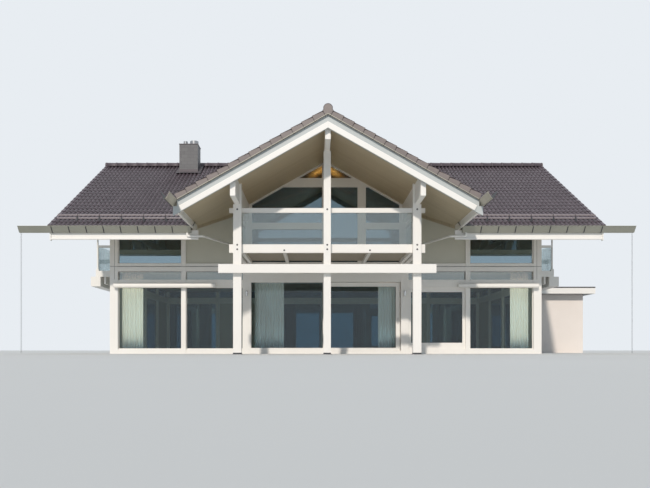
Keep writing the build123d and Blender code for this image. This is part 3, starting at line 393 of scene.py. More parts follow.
# painted shade: a near-black block under the tiles stands in for the shade beneath them
tileShadow = mottled("shadeUnderTiles", "#1d1b1d", "#272427", 2.0, 0.9, 200.0)
zincSheet = mottled("weatheredZinc", "#99998d", "#acab9f", 2.5, 0.5, 40.0, 0.002, metal=0.35)
leadSheet = mottled("oxidisedLead", "#555053", "#686266", 8.0, 0.6, 60.0, 0.002, metal=0.4)
chainSteel = mottled("dulledSteel", "#5c5f61", "#737678", 6.0, 0.45, 200.0, metal=1.0)
satinAluminium = mottled("satinAluminium", "#c9cbcc", "#d8dadb", 6.0, 0.3, 300.0, metal=1.0)
stainless = mottled("brushedStainless", "#8d8f92", "#a6a8aa", 6.0, 0.35, 200.0, metal=1.0)
viewGlass = glassPane("clearInsulatingGlass", ("#98b8c5", "#abb4b5", "#6f8591"), (0.0, 0.42, 0.8), 2.3,
                      {"Specular IOR Level": 0.25})
upperGlass = glassPane("reflectiveInsulatingGlass", "#9bb2bd", (0.72, 0.16, 0.16), 3.31)
gableGlass = glassPane("reflectiveGableGlass", "#8ba6b1", (0.34, 0.05, 0.05), 5.5)
railGlass = glassPane("laminatedSafetyGlass", "#dbe5e7", 0.12)
clayTile = clayTileMaterial("engobedClayTile", "#4a3f46", "#71646c")
# the same clay as the tiles, painted lighter as it looks in sunlight; used for the cross gable's edge tiles
# and the ridge discs
vergeTile = clayTileMaterial("clayTilePaintedLit", "#6b6260", "#8a807c")
voile = curtainMaterial()

finishes = {  # by the first words of a node's name; all others are painted white
    "ground_slab": stoneFloor,
    "wall_panels": wallRender,
    "annex_walls": annexRender,
    "annex_roof": darkCoating,
    "snow_guards": snowGuardMaterial(),
    "eaves_gutters": zincSheet,
    "gable_gutters": gableGutterMaterial(),
    "drainpipes": whiteCoating,
    "rain_chains": chainSteel,
    "chimney_stack": slateMaterial(),
    "chimney_flues": stainless,
    "balcony_deck": greyedDeck,
    "grey_verge_boards": greyPaint,
    "main_deck": liningBoards,
    "cross_deck": liningBoards,
    "ground_window_glass": viewGlass,
    "terrace_door_glass": viewGlass,
    "upper_window_glass": upperGlass,
    "gable_glass": gableGlass,
    "balcony_glass": railGlass,
    "side_balcony_glass": railGlass,
    "awning_cassettes": whiteCoating,
    "wall_lamps": satinAluminium,
    "curtains": voile,
    "ridge_caps": clayTile,
    "main_tiles": clayTile,
    "cross_tiles": clayTile,
}
for name, node in nodes.items():
    material = next((finishes[start] for start in finishes if name.startswith(start)), whitePaint)
    node.data.materials.clear()
    node.data.materials.append(material)
print("materials on", len(nodes), "solids")


# Geometry Nodes: one tree covers a roof slope with tiles, another repeats a shape along a line

def startTree(name, sockets):
    tree = bpy.data.node_groups.new(name, "GeometryNodeTree")
    tree.interface.new_socket("Geometry", in_out="OUTPUT", socket_type="NodeSocketGeometry")
    for label, kind in sockets:
        tree.interface.new_socket(label, in_out="INPUT", socket_type="NodeSocket" + kind)
    return tree, addNode(tree, "NodeGroupInput").outputs


def endTree(tree, geometry, finish):
    final = addNode(tree, "GeometryNodeSetMaterial", {"Geometry": geometry, "Material": finish})
    addNode(tree, "NodeGroupOutput", {"Geometry": final})
    return tree


def runTree(tree, name, values):  # gives the tree's result as a plain mesh
    holder = placed(name, bpy.data.meshes.new(name + "Start"))
    modifier = holder.modifiers.new("build", "NODES")
    modifier.node_group = tree
    for item in tree.interface.items_tree:
        if item.in_out == "INPUT" and item.name in values:
            modifier[item.identifier] = values[item.name]
    graph = bpy.context.evaluated_depsgraph_get()
    graph.update()
    mesh = bpy.data.meshes.new_from_object(holder.evaluated_get(graph))
    bpy.data.objects.remove(holder)
    mesh.name = name
    return mesh


def shadedInstances(tree, laid, seed):  # each instance keeps a random number as its own shade
    shade = addNode(tree, "FunctionNodeRandomValue", {"Seed": seed}, data_type="FLOAT")
    stored = addNode(tree, "GeometryNodeStoreNamedAttribute",
                     {"Geometry": laid, "Name": "ownShade", "Value": shade.outputs[1]},
                     data_type="FLOAT", domain="INSTANCE")
    return addNode(tree, "GeometryNodeRealizeInstances", {"Geometry": stored})


def tileFieldTree():
    tree, given = startTree("tileField", [
        ("Tile", "Object"), ("Columns", "Int"), ("Rows", "Int"), ("Width", "Float"), ("Gauge", "Float"),
        ("Middle", "Float"), ("Valley Start", "Float"), ("Valley Limit", "Float"), ("Valley Hand", "Float"),
        ("Pitch Cosine", "Float"), ("Slope Length", "Float"), ("Place", "Vector"), ("Turn", "Vector"),
        ("Seed", "Int"), ("Finish", "Material")])
    sizeX = maths(tree, "MULTIPLY", maths(tree, "SUBTRACT", given["Columns"], 1.0), given["Width"])
    sizeY = maths(tree, "MULTIPLY", maths(tree, "SUBTRACT", given["Rows"], 1.0), given["Gauge"])
    grid = addNode(tree, "GeometryNodeMeshGrid", {
        "Size X": sizeX, "Size Y": sizeY, "Vertices X": given["Columns"], "Vertices Y": given["Rows"]})
    halfY = maths(tree, "MULTIPLY", sizeY, 0.5)
    shift = addNode(tree, "ShaderNodeCombineXYZ", {"X": given["Middle"], "Y": halfY})
    points = addNode(tree, "GeometryNodeTransform", {"Geometry": grid, "Translation": shift})
    # a tile is left out where its outer upper corner is beyond the valley
    place = addNode(tree, "ShaderNodeSeparateXYZ", {0: addNode(tree, "GeometryNodeInputPosition")}).outputs
    across = maths(tree, "MULTIPLY", place["X"], given["Valley Hand"])
    corner = maths(tree, "MULTIPLY_ADD", given["Width"], 0.5, across)
    run = maths(tree, "MULTIPLY", maths(tree, "ADD", place["Y"], given["Gauge"]), given["Pitch Cosine"])
    edge = maths(tree, "MINIMUM", maths(tree, "SUBTRACT", given["Valley Start"], run), given["Valley Limit"])
    kept = addNode(tree, "GeometryNodeDeleteGeometry",
                   {"Geometry": points, "Selection": maths(tree, "LESS_THAN", corner, edge)})
    shape = addNode(tree, "GeometryNodeObjectInfo", {"Object": given["Tile"]})
    jitter = addNode(tree, "FunctionNodeRandomValue",
                     {"Min": (-0.003, -0.004, -0.004), "Max": (0.003, 0.004, 0.004), "Seed": given["Seed"]},
                     data_type="FLOAT_VECTOR")
    laid = addNode(tree, "GeometryNodeInstanceOnPoints",
                   {"Points": kept, "Instance": shape.outputs["Geometry"], "Rotation": jitter})
    real = shadedInstances(tree, laid, given["Seed"])
    # what would pass the ridge is drawn back to it
    spot = addNode(tree, "ShaderNodeSeparateXYZ", {0: addNode(tree, "GeometryNodeInputPosition")}).outputs
    capped = maths(tree, "MINIMUM", spot["Y"], given["Slope Length"])
    moved = addNode(tree, "ShaderNodeCombineXYZ", {"X": spot["X"], "Y": capped, "Z": spot["Z"]})
    trimmed = addNode(tree, "GeometryNodeSetPosition", {"Geometry": real, "Position": moved})
    onRoof = addNode(tree, "GeometryNodeTransform",
                     {"Geometry": trimmed, "Translation": given["Place"], "Rotation": given["Turn"]})
    return endTree(tree, onRoof, given["Finish"])


def rowTree():
    tree, given = startTree("rowOfShapes", [
        ("Shape", "Object"), ("Count", "Int"), ("Start", "Vector"), ("Step", "Vector"), ("Turn", "Vector"),
        ("Every Second Turn", "Vector"), ("Jitter", "Float"), ("Seed", "Int"), ("Finish", "Material")])
    line = addNode(tree, "GeometryNodeMeshLine", {
        "Count": given["Count"], "Start Location": given["Start"], "Offset": given["Step"]}, mode="OFFSET")
    second = maths(tree, "MODULO", addNode(tree, "GeometryNodeInputIndex"), 2.0)
    extra = addNode(tree, "ShaderNodeVectorMath", {0: given["Every Second Turn"], "Scale": second},
                    operation="SCALE")
    around = addNode(tree, "ShaderNodeVectorMath", {0: given["Turn"], 1: extra}, operation="ADD")
    loose = addNode(tree, "FunctionNodeRandomValue",
                    {"Min": (-1, -1, -1), "Max": (1, 1, 1), "Seed": given["Seed"]}, data_type="FLOAT_VECTOR")
    scaled = addNode(tree, "ShaderNodeVectorMath", {0: loose, "Scale": given["Jitter"]}, operation="SCALE")
    rotation = addNode(tree, "ShaderNodeVectorMath", {0: around, 1: scaled}, operation="ADD")
    shape = addNode(tree, "GeometryNodeObjectInfo", {"Object": given["Shape"]})
    laid = addNode(tree, "GeometryNodeInstanceOnPoints",
                   {"Points": line, "Instance": shape.outputs["Geometry"], "Rotation": rotation})
    return endTree(tree, shadedInstances(tree, laid, given["Seed"]), given["Finish"])


fieldTree = tileFieldTree()
repeatTree = rowTree()


def rowsOf(name, shape, finish, rows, everySecond=(0.0, 0.0, 0.0), jitter=0.0):
    # each row: count, start, step and, where the shape is turned, its turn
    pattern = placed(name + "Pattern", shape)
    meshes = []
    for number, (count, start, step, *turn) in enumerate(rows):
        meshes.append(runTree(repeatTree, name, {
            "Shape": pattern, "Count": count, "Start": start, "Step": step,
            "Turn": turn[0] if turn else (0, 0, 0), "Every Second Turn": everySecond, "Jitter": jitter,
            "Seed": number + 1, "Finish": finish}))
    bpy.data.objects.remove(pattern)
    return joinMeshes(name, meshes) if len(meshes) > 1 else meshes[0]


# Roof tiles, with raised edge tiles down both verges

tile = {
    "width": 0.26689,    # covering width, with two waves
    "gauge": 0.3164,     # distance between rows up the slope
    "overlap": 0.03,
    "nose": 0.008,       # how far the lower end passes its row's line
    "waveDepth": 0.046,
    "step": 0.017,       # how far a tile's lower end stands over the one below
    "thickness": 0.012,
    "across": 16,        # faces across one tile
    "vergeCap": 0.11,
    "vergeSkirt": 0.172,
    "vergeStep": {"main": 0.012, "cross": 0.036},
    "vergeJoint": 0.020,
    "underlayDrop": 0.085,
}


def tileMesh():
    mesh = bmesh.new()
    half = tile["width"] / 2
    across = tile["across"]
    paintedShade = mesh.verts.layers.float.new("paintedShade")
    low, high = -tile["nose"], tile["gauge"] + tile["overlap"]
    rows = []
    for along, sink in ((low, tile["thickness"]), (low, 0.0), (low, 0.0), (high, 0.0)):
        drop = tile["step"] * (along - low) / tile["gauge"] + sink
        row = []
        for i in range(across + 1):
            x = -half + tile["width"] * i / across
            wave = (1 - math.cos(4 * math.pi * i / across)) / 2
            row.append(mesh.verts.new((x, along, -drop - wave * tile["waveDepth"])))
            # painted shade: the deeper a point lies in the wave, the darker it is drawn
            row[-1][paintedShade] = wave
        rows.append(row)
    bridge(mesh, rows[:2], closed=False)
    bridge(mesh, rows[2:], closed=False, smooth=True)
    return meshData("tilePattern", mesh)


def vergeMesh(hand, step):  # an edge tile: a rounded cap, and a skirt that hangs over the roof's side
    mesh = bmesh.new()
    paintedShade = mesh.verts.layers.float.new("paintedShade")
    low, high = -tile["nose"], tile["gauge"] + tile["overlap"]
    joint = tile["gauge"] + low - tile["vergeJoint"]
    cap, skirt = tile["vergeCap"], tile["vergeSkirt"]
    outline = [(-cap, 0.0), (-0.03, 0.010), (-0.012, 0.006), (-0.003, -0.004), (0.0, -0.018), (0.0, -skirt),
               (-0.016, -skirt)]
    rings = []
    # the strip past the joint is set back and marked for painted shade, so each joint reads as a dark line
    for along, inset, dark in ((low, 0.0, 0.0), (joint, 0.0, 0.0), (joint, 0.012, 1.0), (high, 0.012, 1.0)):
        drop = step * (along - low) / tile["gauge"] + inset
        rings.append([mesh.verts.new((hand * (x - inset), along, z if z == -skirt else z - drop))
                      for x, z in outline])
        for v in rings[-1]:
            v[paintedShade] = dark
    for number, face in enumerate(bridge(mesh, rings, closed=False)):
        face.smooth = number < 4
        if hand < 0:
            face.normal_flip()
    end = [mesh.verts.new(v.co) for v in rings[0]]
    end += [mesh.verts.new((hand * x, low, z)) for x, z in ((-0.016, -0.024), (-cap, -0.016))]
    mesh.faces.new(end[::-1] if hand > 0 else end)
    return meshData("vergePattern", mesh)


def underlay(name, plan, height):  # dark block under the tiles, cut along the valley: painted shade that shows through the gaps between tiles
    mesh = bmesh.new()
    rings = [[mesh.verts.new((x, y, height(x, y) + lift)) for x, y in plan]
             for lift in (0.005, roof["tileDepth"] - tile["underlayDrop"])]
    bridge(mesh, rings)
    capEnds(mesh, rings)
    return meshData(name, outward(mesh), tileShadow)


tilePattern = placed("tilePattern", tileMesh())
vergePatterns = {(slope, hand): placed("vergePattern", vergeMesh(hand, step))
                 for slope, step in tile["vergeStep"].items() for hand in (-1, 1)}


def layTiles(name, node, columns, middle, length, rows, place, turn, valley, verges, seed, plan, height):
    values = {
        "Tile": tilePattern, "Columns": columns, "Rows": rows, "Width": tile["width"], "Gauge": tile["gauge"],
        "Middle": middle, "Valley Start": valley[0], "Valley Limit": valley[1], "Valley Hand": valley[2],
        "Pitch Cosine": math.cos(pitch), "Slope Length": length, "Place": place, "Turn": turn, "Seed": seed,
        "Finish": clayTile,
    }
    meshes = [runTree(fieldTree, name, values), underlay(name + "Underlay", plan, height)]
    slope = node.split("_")[0]
    for at, hand in verges:  # one column of edge tiles at the roof's side
        meshes.append(runTree(fieldTree, name + "Verge", dict(values, **{
            "Tile": vergePatterns[slope, hand], "Columns": 1, "Middle": at,
            "Valley Hand": math.copysign(1.0, at), "Finish": vergeTile if slope == "cross" else clayTile})))
    finishPiece(name, joinMeshes(name, meshes), "roof_tile", (node,))


half, eave, deckEave, deckHalf = roof["halfLength"], roof["eave"], roof["deckEave"], roof["deckHalf"]
crossHalf, crossFront, crossDeckHalf = roof["crossHalf"], roof["crossFront"], roof["crossDeckHalf"]
mainLength = eave / math.cos(pitch) - 0.01
crossLength = crossHalf / math.cos(pitch) - 0.01
mainValley = (eave - valleyOffset, crossHalf)
crossValley = (valleyOffset + crossHalf, 99.0)
noValley = (-99.0, 99.0, 1.0)
for hand, side in ((-1, "Left"), (1, "Right")):
    valleyLine = [(hand * crossDeckHalf, -crossDeckHalf - valleyOffset), (0, -valleyOffset)]
    columns = 31 if hand < 0 else 30
    middle = hand * (half - columns * tile["width"] / 2)
    plan = [(hand * deckHalf, -deckEave), (hand * crossDeckHalf, -deckEave)] + valleyLine
    layTiles("tilesFront" + side, "main_tiles_front_" + side.lower(), columns, middle, mainLength, 21,
             (0, -eave, mainTop(eave)), (pitch, 0, 0), mainValley + (float(hand),), [(hand * half, hand)],
             3 + hand, plan + [(0, 0), (hand * deckHalf, 0)], lambda x, y: mainDeck(y))
    columns = 27
    middle = -hand * (crossFront - columns * tile["width"] / 2)
    plan = [(0, -roof["crossDeckFront"]), (hand * crossDeckHalf, -roof["crossDeckFront"])] + valleyLine
    layTiles("tilesCross" + side, "cross_tiles_" + side.lower(), columns, middle, crossLength, 15,
             (hand * crossHalf, 0, crossTop(crossHalf)), (pitch, 0, hand * quarter),
             crossValley + (-float(hand),), [(-hand * crossFront, -hand)], 13 + hand, plan,
             lambda x, y: crossDeck(x))
layTiles("tilesRear", "main_tiles_rear", 61, 0.0, mainLength, 21, (0, eave, mainTop(eave)),
         (pitch, 0, math.pi), noValley, [(-half, -1), (half, 1)], 11,
         rectangle(-deckHalf, deckHalf, 0, deckEave), lambda x, y: mainDeck(y))
for pattern in [tilePattern] + list(vergePatterns.values()):
    bpy.data.objects.remove(pattern)
print("roof tiles laid")


# Ridge caps that overlap, with a disc at each end

ridge = {"radius": 0.125, "drop": 0.03, "pitch": 0.3781, "length": 0.402, "taper": 0.014, "segments": 10,
         "mainCaps": 43, "crossCaps": 19}


def capMesh():  # lies along +X, with its wide end at the start
    mesh = bmesh.new()
    paintedShade = mesh.verts.layers.float.new("paintedShade")
    wide = ridge["radius"]
    rings = []
    for along, radius in ((0.0, wide - 0.012), (0.0, wide), (0.05, wide), (0.055, wide - 0.006),
                          (ridge["length"], wide - ridge["taper"])):
        angles = [math.radians(-105 + 210 * i / ridge["segments"]) for i in range(ridge["segments"] + 1)]
        rings.append([mesh.verts.new((along, radius * math.sin(a), radius * math.cos(a))) for a in angles])
        # painted shade that grows towards the cap's sides
        for a, v in zip(angles, rings[-1]):
            v[paintedShade] = 0.6 * abs(math.sin(a)) ** 2
    for face in bridge(mesh, rings, closed=False, smooth=True):
        face.normal_flip()
    return meshData("capPattern", mesh)


def discMesh():  # closes a ridge end: an eight-sided plate with a bevelled face towards -X
    mesh = bmesh.new()
    angles = [math.radians(22.5 + 45 * i) for i in range(8)]
    rings = [[mesh.verts.new((along, radius * math.sin(a), radius * 0.95 * math.cos(a))) for a in angles]
             for along, radius in ((0.03, 0.130), (0.008, 0.130), (0.0, 0.114))]
    bridge(mesh, rings)
    capEnds(mesh, rings)
    return meshData("discPattern", outward(mesh))


mainStart = (-half, 0, mainTop(0) - ridge["drop"])
mainEnd = (half, 0, mainTop(0) - ridge["drop"])
crossStart = (0, -crossFront, crossTop(0) - ridge["drop"])
caps = rowsOf("ridgeCaps", capMesh(), clayTile, [
    (ridge["mainCaps"], mainStart, (ridge["pitch"], 0, 0)),
    (ridge["crossCaps"], crossStart, (0, ridge["pitch"], 0), (0, 0, quarter))], jitter=0.004)
discs = rowsOf("ridgeDiscs", discMesh(), vergeTile, [
    (1, mainStart, (1, 0, 0)), (1, mainEnd, (1, 0, 0), (0, 0, math.pi)),
    (1, crossStart, (1, 0, 0), (0, 0, quarter))])
finishPiece("ridgeCaps", joinMeshes("ridgeCaps", [caps, discs]), "roof_tile", ("ridge_caps",))
print("ridge caps laid")


# Gutter straps under the leaning fronts, and the rolled bead along each front lip

gutter = {"floor": 0.08, "width": 0.22, "bottom": 3.54, "top": 3.71, "reach": 8.95, "innerEnd": 3.95,
          "bead": 0.009}
strap = {"width": 0.03, "thickness": 0.003, "pitch": 0.5, "first": 4.48, "each": 8, "rear": 15}


def strapMesh():
    back = -deckEave - 0.004
    front = -deckEave - gutter["floor"]
    lip = -deckEave - gutter["width"]
    t, low, high = strap["thickness"], gutter["bottom"], gutter["top"]
    inner = [(back, low), (front, low), (lip, high)]
    outer = [(lip - t, high - t * 0.5), (front - t * 0.4, low - t), (back, low - t)]
    mesh = bmesh.new()
    prism(mesh, inner + outer, lambda y, z: (-strap["width"] / 2, y, z), (strap["width"], 0, 0))
    return meshData("strapPattern", outward(mesh))


lastStrap = strap["first"] + (strap["each"] - 1) * strap["pitch"]
rearStrap = -strap["pitch"] * (strap["rear"] - 1) / 2
strapStep = (strap["pitch"], 0, 0)
strapRows = [(strap["each"], (start, 0, 0), strapStep, (0, 0, turn))
             for turn in (0.0, math.pi) for start in (-lastStrap, strap["first"])]
strapRows.append((strap["rear"], (rearStrap, 0, 0), strapStep, (0, 0, math.pi)))
finishPiece("gutterStraps", rowsOf("gutterStraps", strapMesh(), darkCoating, strapRows), "dark_metal")

beads = bmesh.new()
for face, low, high in ((-1, -gutter["reach"], -gutter["innerEnd"]), (-1, gutter["innerEnd"], gutter["reach"]),
                        (1, -gutter["reach"], gutter["reach"])):
    angles = [math.pi * i / 4 for i in range(8)]
    ring = [(gutter["bead"] * math.cos(a), gutter["bead"] * math.sin(a)) for a in angles]
    lipY = face * (deckEave + gutter["width"] - 0.006)
    prism(beads, ring, lambda y, z: (low, lipY + y, gutter["top"] - 0.004 + z), (high - low, 0, 0))
solidPiece("gutterBeads", beads, zincSheet, "grey_zinc")


# Snow guard feet: bent straps that stand on the tiles and hold the lower pipe

footing = {"width": 0.045, "thickness": 0.005, "behind": 0.09, "ahead": 0.085, "pitch": 0.655, "middle": 6.085,
           "each": 5, "rear": 24}


def footMesh():  # on the front slope
    t = footing["thickness"]
    front = -guard["y"] - guard["radius"] - t
    back, toe = -guard["y"] + footing["behind"], -guard["y"] - footing["ahead"]
    top = mainTop(guard["y"]) + guard["lifts"][0] + 2 * guard["radius"]
    sole = [(back, mainTop(back)), (toe, mainTop(toe)), (front, top)]
    inside = [(front + t, top), (toe + 2 * t, mainTop(toe) + 2 * t), (back, mainTop(back) + t)]
    mesh = bmesh.new()
    prism(mesh, sole + inside, lambda y, z: (-footing["width"] / 2, y, z), (footing["width"], 0, 0))
    return meshData("footPattern", outward(mesh))


def footRow(count, middle, turn):
    return count, (middle - footing["pitch"] * (count - 1) / 2, 0, 0), (footing["pitch"], 0, 0), (0, 0, turn)


footRows = [footRow(footing["each"], -footing["middle"], 0), footRow(footing["each"], footing["middle"], 0),
            footRow(footing["rear"], 0, math.pi)]
finishPiece("snowGuardFeet", rowsOf("snowGuardFeet", footMesh(), darkCoating, footRows), "dark_metal")


# Rain chains: links of round wire, each turned a quarter from the one above

link = {"length": 0.060, "width": 0.036, "wireRadius": 0.003, "pitch": 0.048, "x": 8.905, "y": 5.74,
        "annexTop": 2.70}


def linkMesh():
    mesh = bmesh.new()
    radius = link["width"] / 2 - link["wireRadius"]
    straight = link["length"] / 2 - link["wireRadius"] - radius
    path = []
    for end, start in ((1, 0.0), (-1, math.pi)):
        for i in range(5):
            a = start + math.pi * i / 4
            path.append(Vector((radius * math.cos(a), 0, end * straight + radius * math.sin(a))))
    side = Vector((0, 1, 0))
    rings = []
    for i, p in enumerate(path):
        ahead = (path[(i + 1) % len(path)] - path[i - 1]).normalized()
        out = ahead.cross(side).normalized()
        rings.append([mesh.verts.new(p + (out * math.cos(a) + side * math.sin(a)) * link["wireRadius"])
                      for a in (0, quarter, 2 * quarter, 3 * quarter)])
    bridge(mesh, rings + rings[:1], smooth=True)
    return meshData("linkPattern", outward(mesh))


chainRows = []
for x, y, end in ((-link["x"], -link["y"], 0.0), (link["x"], -link["y"], 0.0), (-link["x"], link["y"], 0.0),
                  (link["x"], link["y"], link["annexTop"])):
    count = int((gutter["bottom"] - end - 0.01) / link["pitch"])
    start = (x, y, gutter["bottom"] - link["length"] / 2)
    chainRows.append((count, start, (0, 0, -link["pitch"]), (0, 0, 0.3)))
links = rowsOf("rainChainLinks", linkMesh(), chainSteel, chainRows, everySecond=(0, 0, quarter), jitter=0.03)
finishPiece("rainChainLinks", links, "stainless_steel", ("rain_chains",))
print("gutter straps, snow guard feet and rain chains placed")


# Bolts at the balcony's joints

bolt = {"washer": 0.026, "head": 0.016, "washerHeight": 0.004, "headHeight": 0.010, "postFace": -6.71,
        "postLevels": (3.042, 2.917, 4.03), "beamFace": -6.55, "beamX": 1.2, "beamLevel": 2.913}


def boltMesh():  # points towards -Y
    mesh = bmesh.new()
    angles = [math.pi * i / 4 for i in range(8)]
    rings = [[mesh.verts.new((radius * math.cos(a), -away, radius * math.sin(a))) for a in angles]
             for away, radius in ((0.0, bolt["washer"]), (bolt["washerHeight"], bolt["washer"]),
                                  (bolt["washerHeight"], bolt["head"]),
                                  (bolt["headHeight"], bolt["head"] * 0.8))]
    bridge(mesh, rings)
    capEnds(mesh, rings)
    return meshData("boltPattern", outward(mesh))


boltRows = [(3, (-postX, bolt["postFace"], level), (postX, 0, 0)) for level in bolt["postLevels"]]
boltRows.append((2, (-bolt["beamX"], bolt["beamFace"], bolt["beamLevel"]), (2 * bolt["beamX"], 0, 0)))
finishPiece("beamBolts", rowsOf("beamBolts", boltMesh(), darkCoating, boltRows), "dark_metal")


# Steel shoes under the front posts

shoe = {"height": 0.045, "wall": 0.004, "flange": 0.03, "plate": 0.008, "depth": 0.16, "row": -6.63,
        "outerWidth": 0.23, "centreWidth": 0.20}


def shoeMesh(width):
    mesh = bmesh.new()
    corners = rectangle(-width / 2, width / 2, -shoe["depth"] / 2, shoe["depth"] / 2)
    levels = [(shoe["flange"], 0.0), (shoe["flange"], shoe["plate"]), (shoe["wall"], shoe["plate"]),
              (shoe["wall"], shoe["height"]), (0.0, shoe["height"])]
    rings = [[mesh.verts.new((x + math.copysign(out, x), y + math.copysign(out, y), z)) for x, y in corners]
             for out, z in levels]
    bridge(mesh, rings)
    capEnds(mesh, rings)
    return meshData("shoePattern", outward(mesh))


outerShoes = [(2, (-postX, shoe["row"], 0), (2 * postX, 0, 0))]
centreShoe = [(1, (0, shoe["row"], 0), (1, 0, 0))]
shoes = [rowsOf("outerShoes", shoeMesh(shoe["outerWidth"]), darkCoating, outerShoes),
         rowsOf("centreShoe", shoeMesh(shoe["centreWidth"]), darkCoating, centreShoe)]
finishPiece("postShoes", joinMeshes("postShoes", shoes), "dark_metal")


# Balcony deck boards

deck = {"boards": 17, "gap": 0.006, "thickness": 0.03, "front": -6.43, "bottom": 2.945}
boardGauge = (-wallY - deck["front"]) / deck["boards"]


def boardMesh():
    mesh = bmesh.new()
    width = boardGauge - deck["gap"]
    low, high, soft = -deck["thickness"] / 2, deck["thickness"] / 2, 0.004
    section = [(-width / 2, low), (width / 2, low), (width / 2, high - soft), (width / 2 - soft, high),
               (-width / 2 + soft, high), (-width / 2, high - soft)]
    prism(mesh, section, lambda y, z: (-postX, y, z), (2 * postX, 0, 0))
    return meshData("boardPattern", outward(mesh))


firstBoard = (0, deck["front"] + boardGauge / 2, deck["bottom"] + deck["thickness"] / 2)
boards = rowsOf("deckBoards", boardMesh(), greyedDeck, [(deck["boards"], firstBoard, (0, boardGauge, 0))])
finishPiece("deckBoards", boards, "deck_boards", ("balcony_deck",))
print("bolts, shoes and deck boards placed")


# Flashing strips over the front verge boards, and end plates on the eaves fascias

flashing = {"inner": 0.003, "outer": 3.93, "low": -0.004, "high": 0.012, "front": -7.984, "depth": 0.075}
trim = bmesh.new()
for hand in (-1, 1):
    edges = rectangle(flashing["inner"], flashing["outer"], flashing["low"], flashing["high"])
    section = [(x, crossDeck(x) + lift) for x, lift in edges]
    prism(trim, section, lambda x, z: (hand * x, flashing["front"], z), (0, flashing["depth"], 0))
solidPiece("vergeFlashings", trim, zincSheet, "grey_zinc")

endPlate = {"x": 8.045, "thickness": 0.035, "back": 5.64, "front": 5.735, "low": 3.32, "high": 3.62}
plates = bmesh.new()
section = [(endPlate["back"], endPlate["low"]), (endPlate["front"], endPlate["low"]),
           (endPlate["front"], endPlate["high"] - 0.03), (endPlate["back"], endPlate["high"])]
for hand in (-1, 1):
    for face in (-1, 1):
        out = (hand * endPlate["thickness"], 0, 0)
        prism(plates, section, lambda y, z: (hand * endPlate["x"], face * y, z), out)
solidPiece("fasciaEndPlates", plates, whitePaint, "white_timber", bevel=0.004)


# Dark drip profile round the house between the storeys, and seals beside the corner posts

seal = {"level": 2.756, "height": 0.012, "proud": 0.004, "depth": 0.016, "clearOfBalcony": 2.62,
        "cornerJoint": 6.68, "jointWidth": 0.008, "jointLow": 2.35, "jointHigh": 4.25}
strips = bmesh.new()
high, deep = seal["height"], seal["depth"]
faceX, faceY = wallX + seal["proud"], wallY + seal["proud"]
for x0, x1, y in ((-faceX, -seal["clearOfBalcony"], -faceY), (seal["clearOfBalcony"], faceX, -faceY),
                  (-faceX, faceX, faceY - deep)):
    section = [(y, 0.0), (y + deep, 0.0), (y + deep, high), (y, high * 0.7)]
    prism(strips, section, lambda a, b: (x0, a, seal["level"] + b), (x1 - x0, 0, 0))
for x in (-faceX, faceX - deep):
    section = rectangle(x, x + deep, 0.0, high)
    prism(strips, section, lambda a, b: (a, -faceY, seal["level"] + b), (0, 2 * faceY, 0))
x0, x1 = seal["cornerJoint"] - seal["jointWidth"] / 2, seal["cornerJoint"] + seal["jointWidth"] / 2
section = rectangle(x0, x1, wallY + 0.0015, wallY - 0.005)
upright = (0, 0, seal["jointHigh"] - seal["jointLow"])
for hand in (-1, 1):
    for face in (-1, 1):
        prism(strips, section, lambda a, b: (hand * a, face * b, seal["jointLow"]), upright)
solidPiece("storeySeals", strips, sealRubber, "dark_metal")


# Awning cassettes: rounded housings with end caps and a drop bar along the lower front

awning = {"spans": ((-6.69, -3.47), (4.18, 6.71)), "depth": 0.15, "bottom": 2.095, "height": 0.12,
          "corner": 0.028, "cap": 0.012, "barFront": 0.146, "barBack": 0.105, "barLow": 2.088,
          "barHigh": 2.100, "barInset": 0.03}


def cassetteSection(shrink):
    front = -wallY - awning["depth"] + shrink
    low, high = awning["bottom"] + shrink, awning["bottom"] + awning["height"] - shrink
    r = awning["corner"]
    points = [(-wallY, low)]
    for centre, start in (((front + r, low + r), 270), ((front + r, high - r), 180)):
        for i in range(5):
            a = math.radians(start - 90 * i / 4)
            points.append((centre[0] + r * math.cos(a), centre[1] + r * math.sin(a)))
    return points + [(-wallY, high)]


housings = bmesh.new()
cap, inset = awning["cap"], awning["barInset"]
barFront, barBack = -wallY - awning["barFront"], -wallY - awning["barBack"]
bar = rectangle(barFront, barBack, awning["barLow"], awning["barHigh"])
for low, high in awning["spans"]:
    prism(housings, cassetteSection(0.004), lambda y, z: (low + cap, y, z), (high - low - 2 * cap, 0, 0))
    for end in (low, high - cap):
        prism(housings, cassetteSection(0.0), lambda y, z: (end, y, z), (cap, 0, 0))
    prism(housings, bar, lambda y, z: (low + inset, y, z), (high - low - 2 * inset, 0, 0))
solidPiece("awningHousings", housings, whiteCoating, "white_metal", ("awning_cassettes",), bevel=0.002)


# Wall lamps: turned cylinders that shine up and down, each on a small wall plate

lamp = {"radius": 0.0375, "low": 1.825, "high": 1.995, "plateHalf": 0.03, "plateLow": 1.87,
        "plateHeight": 0.08, "plateDepth": 0.006}
lamps = bmesh.new()
r, low, high = lamp["radius"], lamp["low"], lamp["high"]
profile = [(r - 0.010, low + 0.02), (r - 0.006, low + 0.02), (r - 0.005, low), (r - 0.001, low),
           (r, low + 0.003), (r, high - 0.003), (r - 0.001, high), (r - 0.005, high),
           (r - 0.006, high - 0.02), (r - 0.010, high - 0.02)]
for x in (-postX, postX):
    turned(lamps, profile, (x, -wallY - r))
    plate = rectangle(x - lamp["plateHalf"], x + lamp["plateHalf"], 0.001 - wallY, -wallY - lamp["plateDepth"])
    prism(lamps, plate, lambda a, b: (a, b, lamp["plateLow"]), (0, 0, lamp["plateHeight"]))
solidPiece("wallLampBodies", lamps, satinAluminium, "white_metal", ("wall_lamps",))


# Chimney: cap plate, and lead that lies over the tiles round its foot

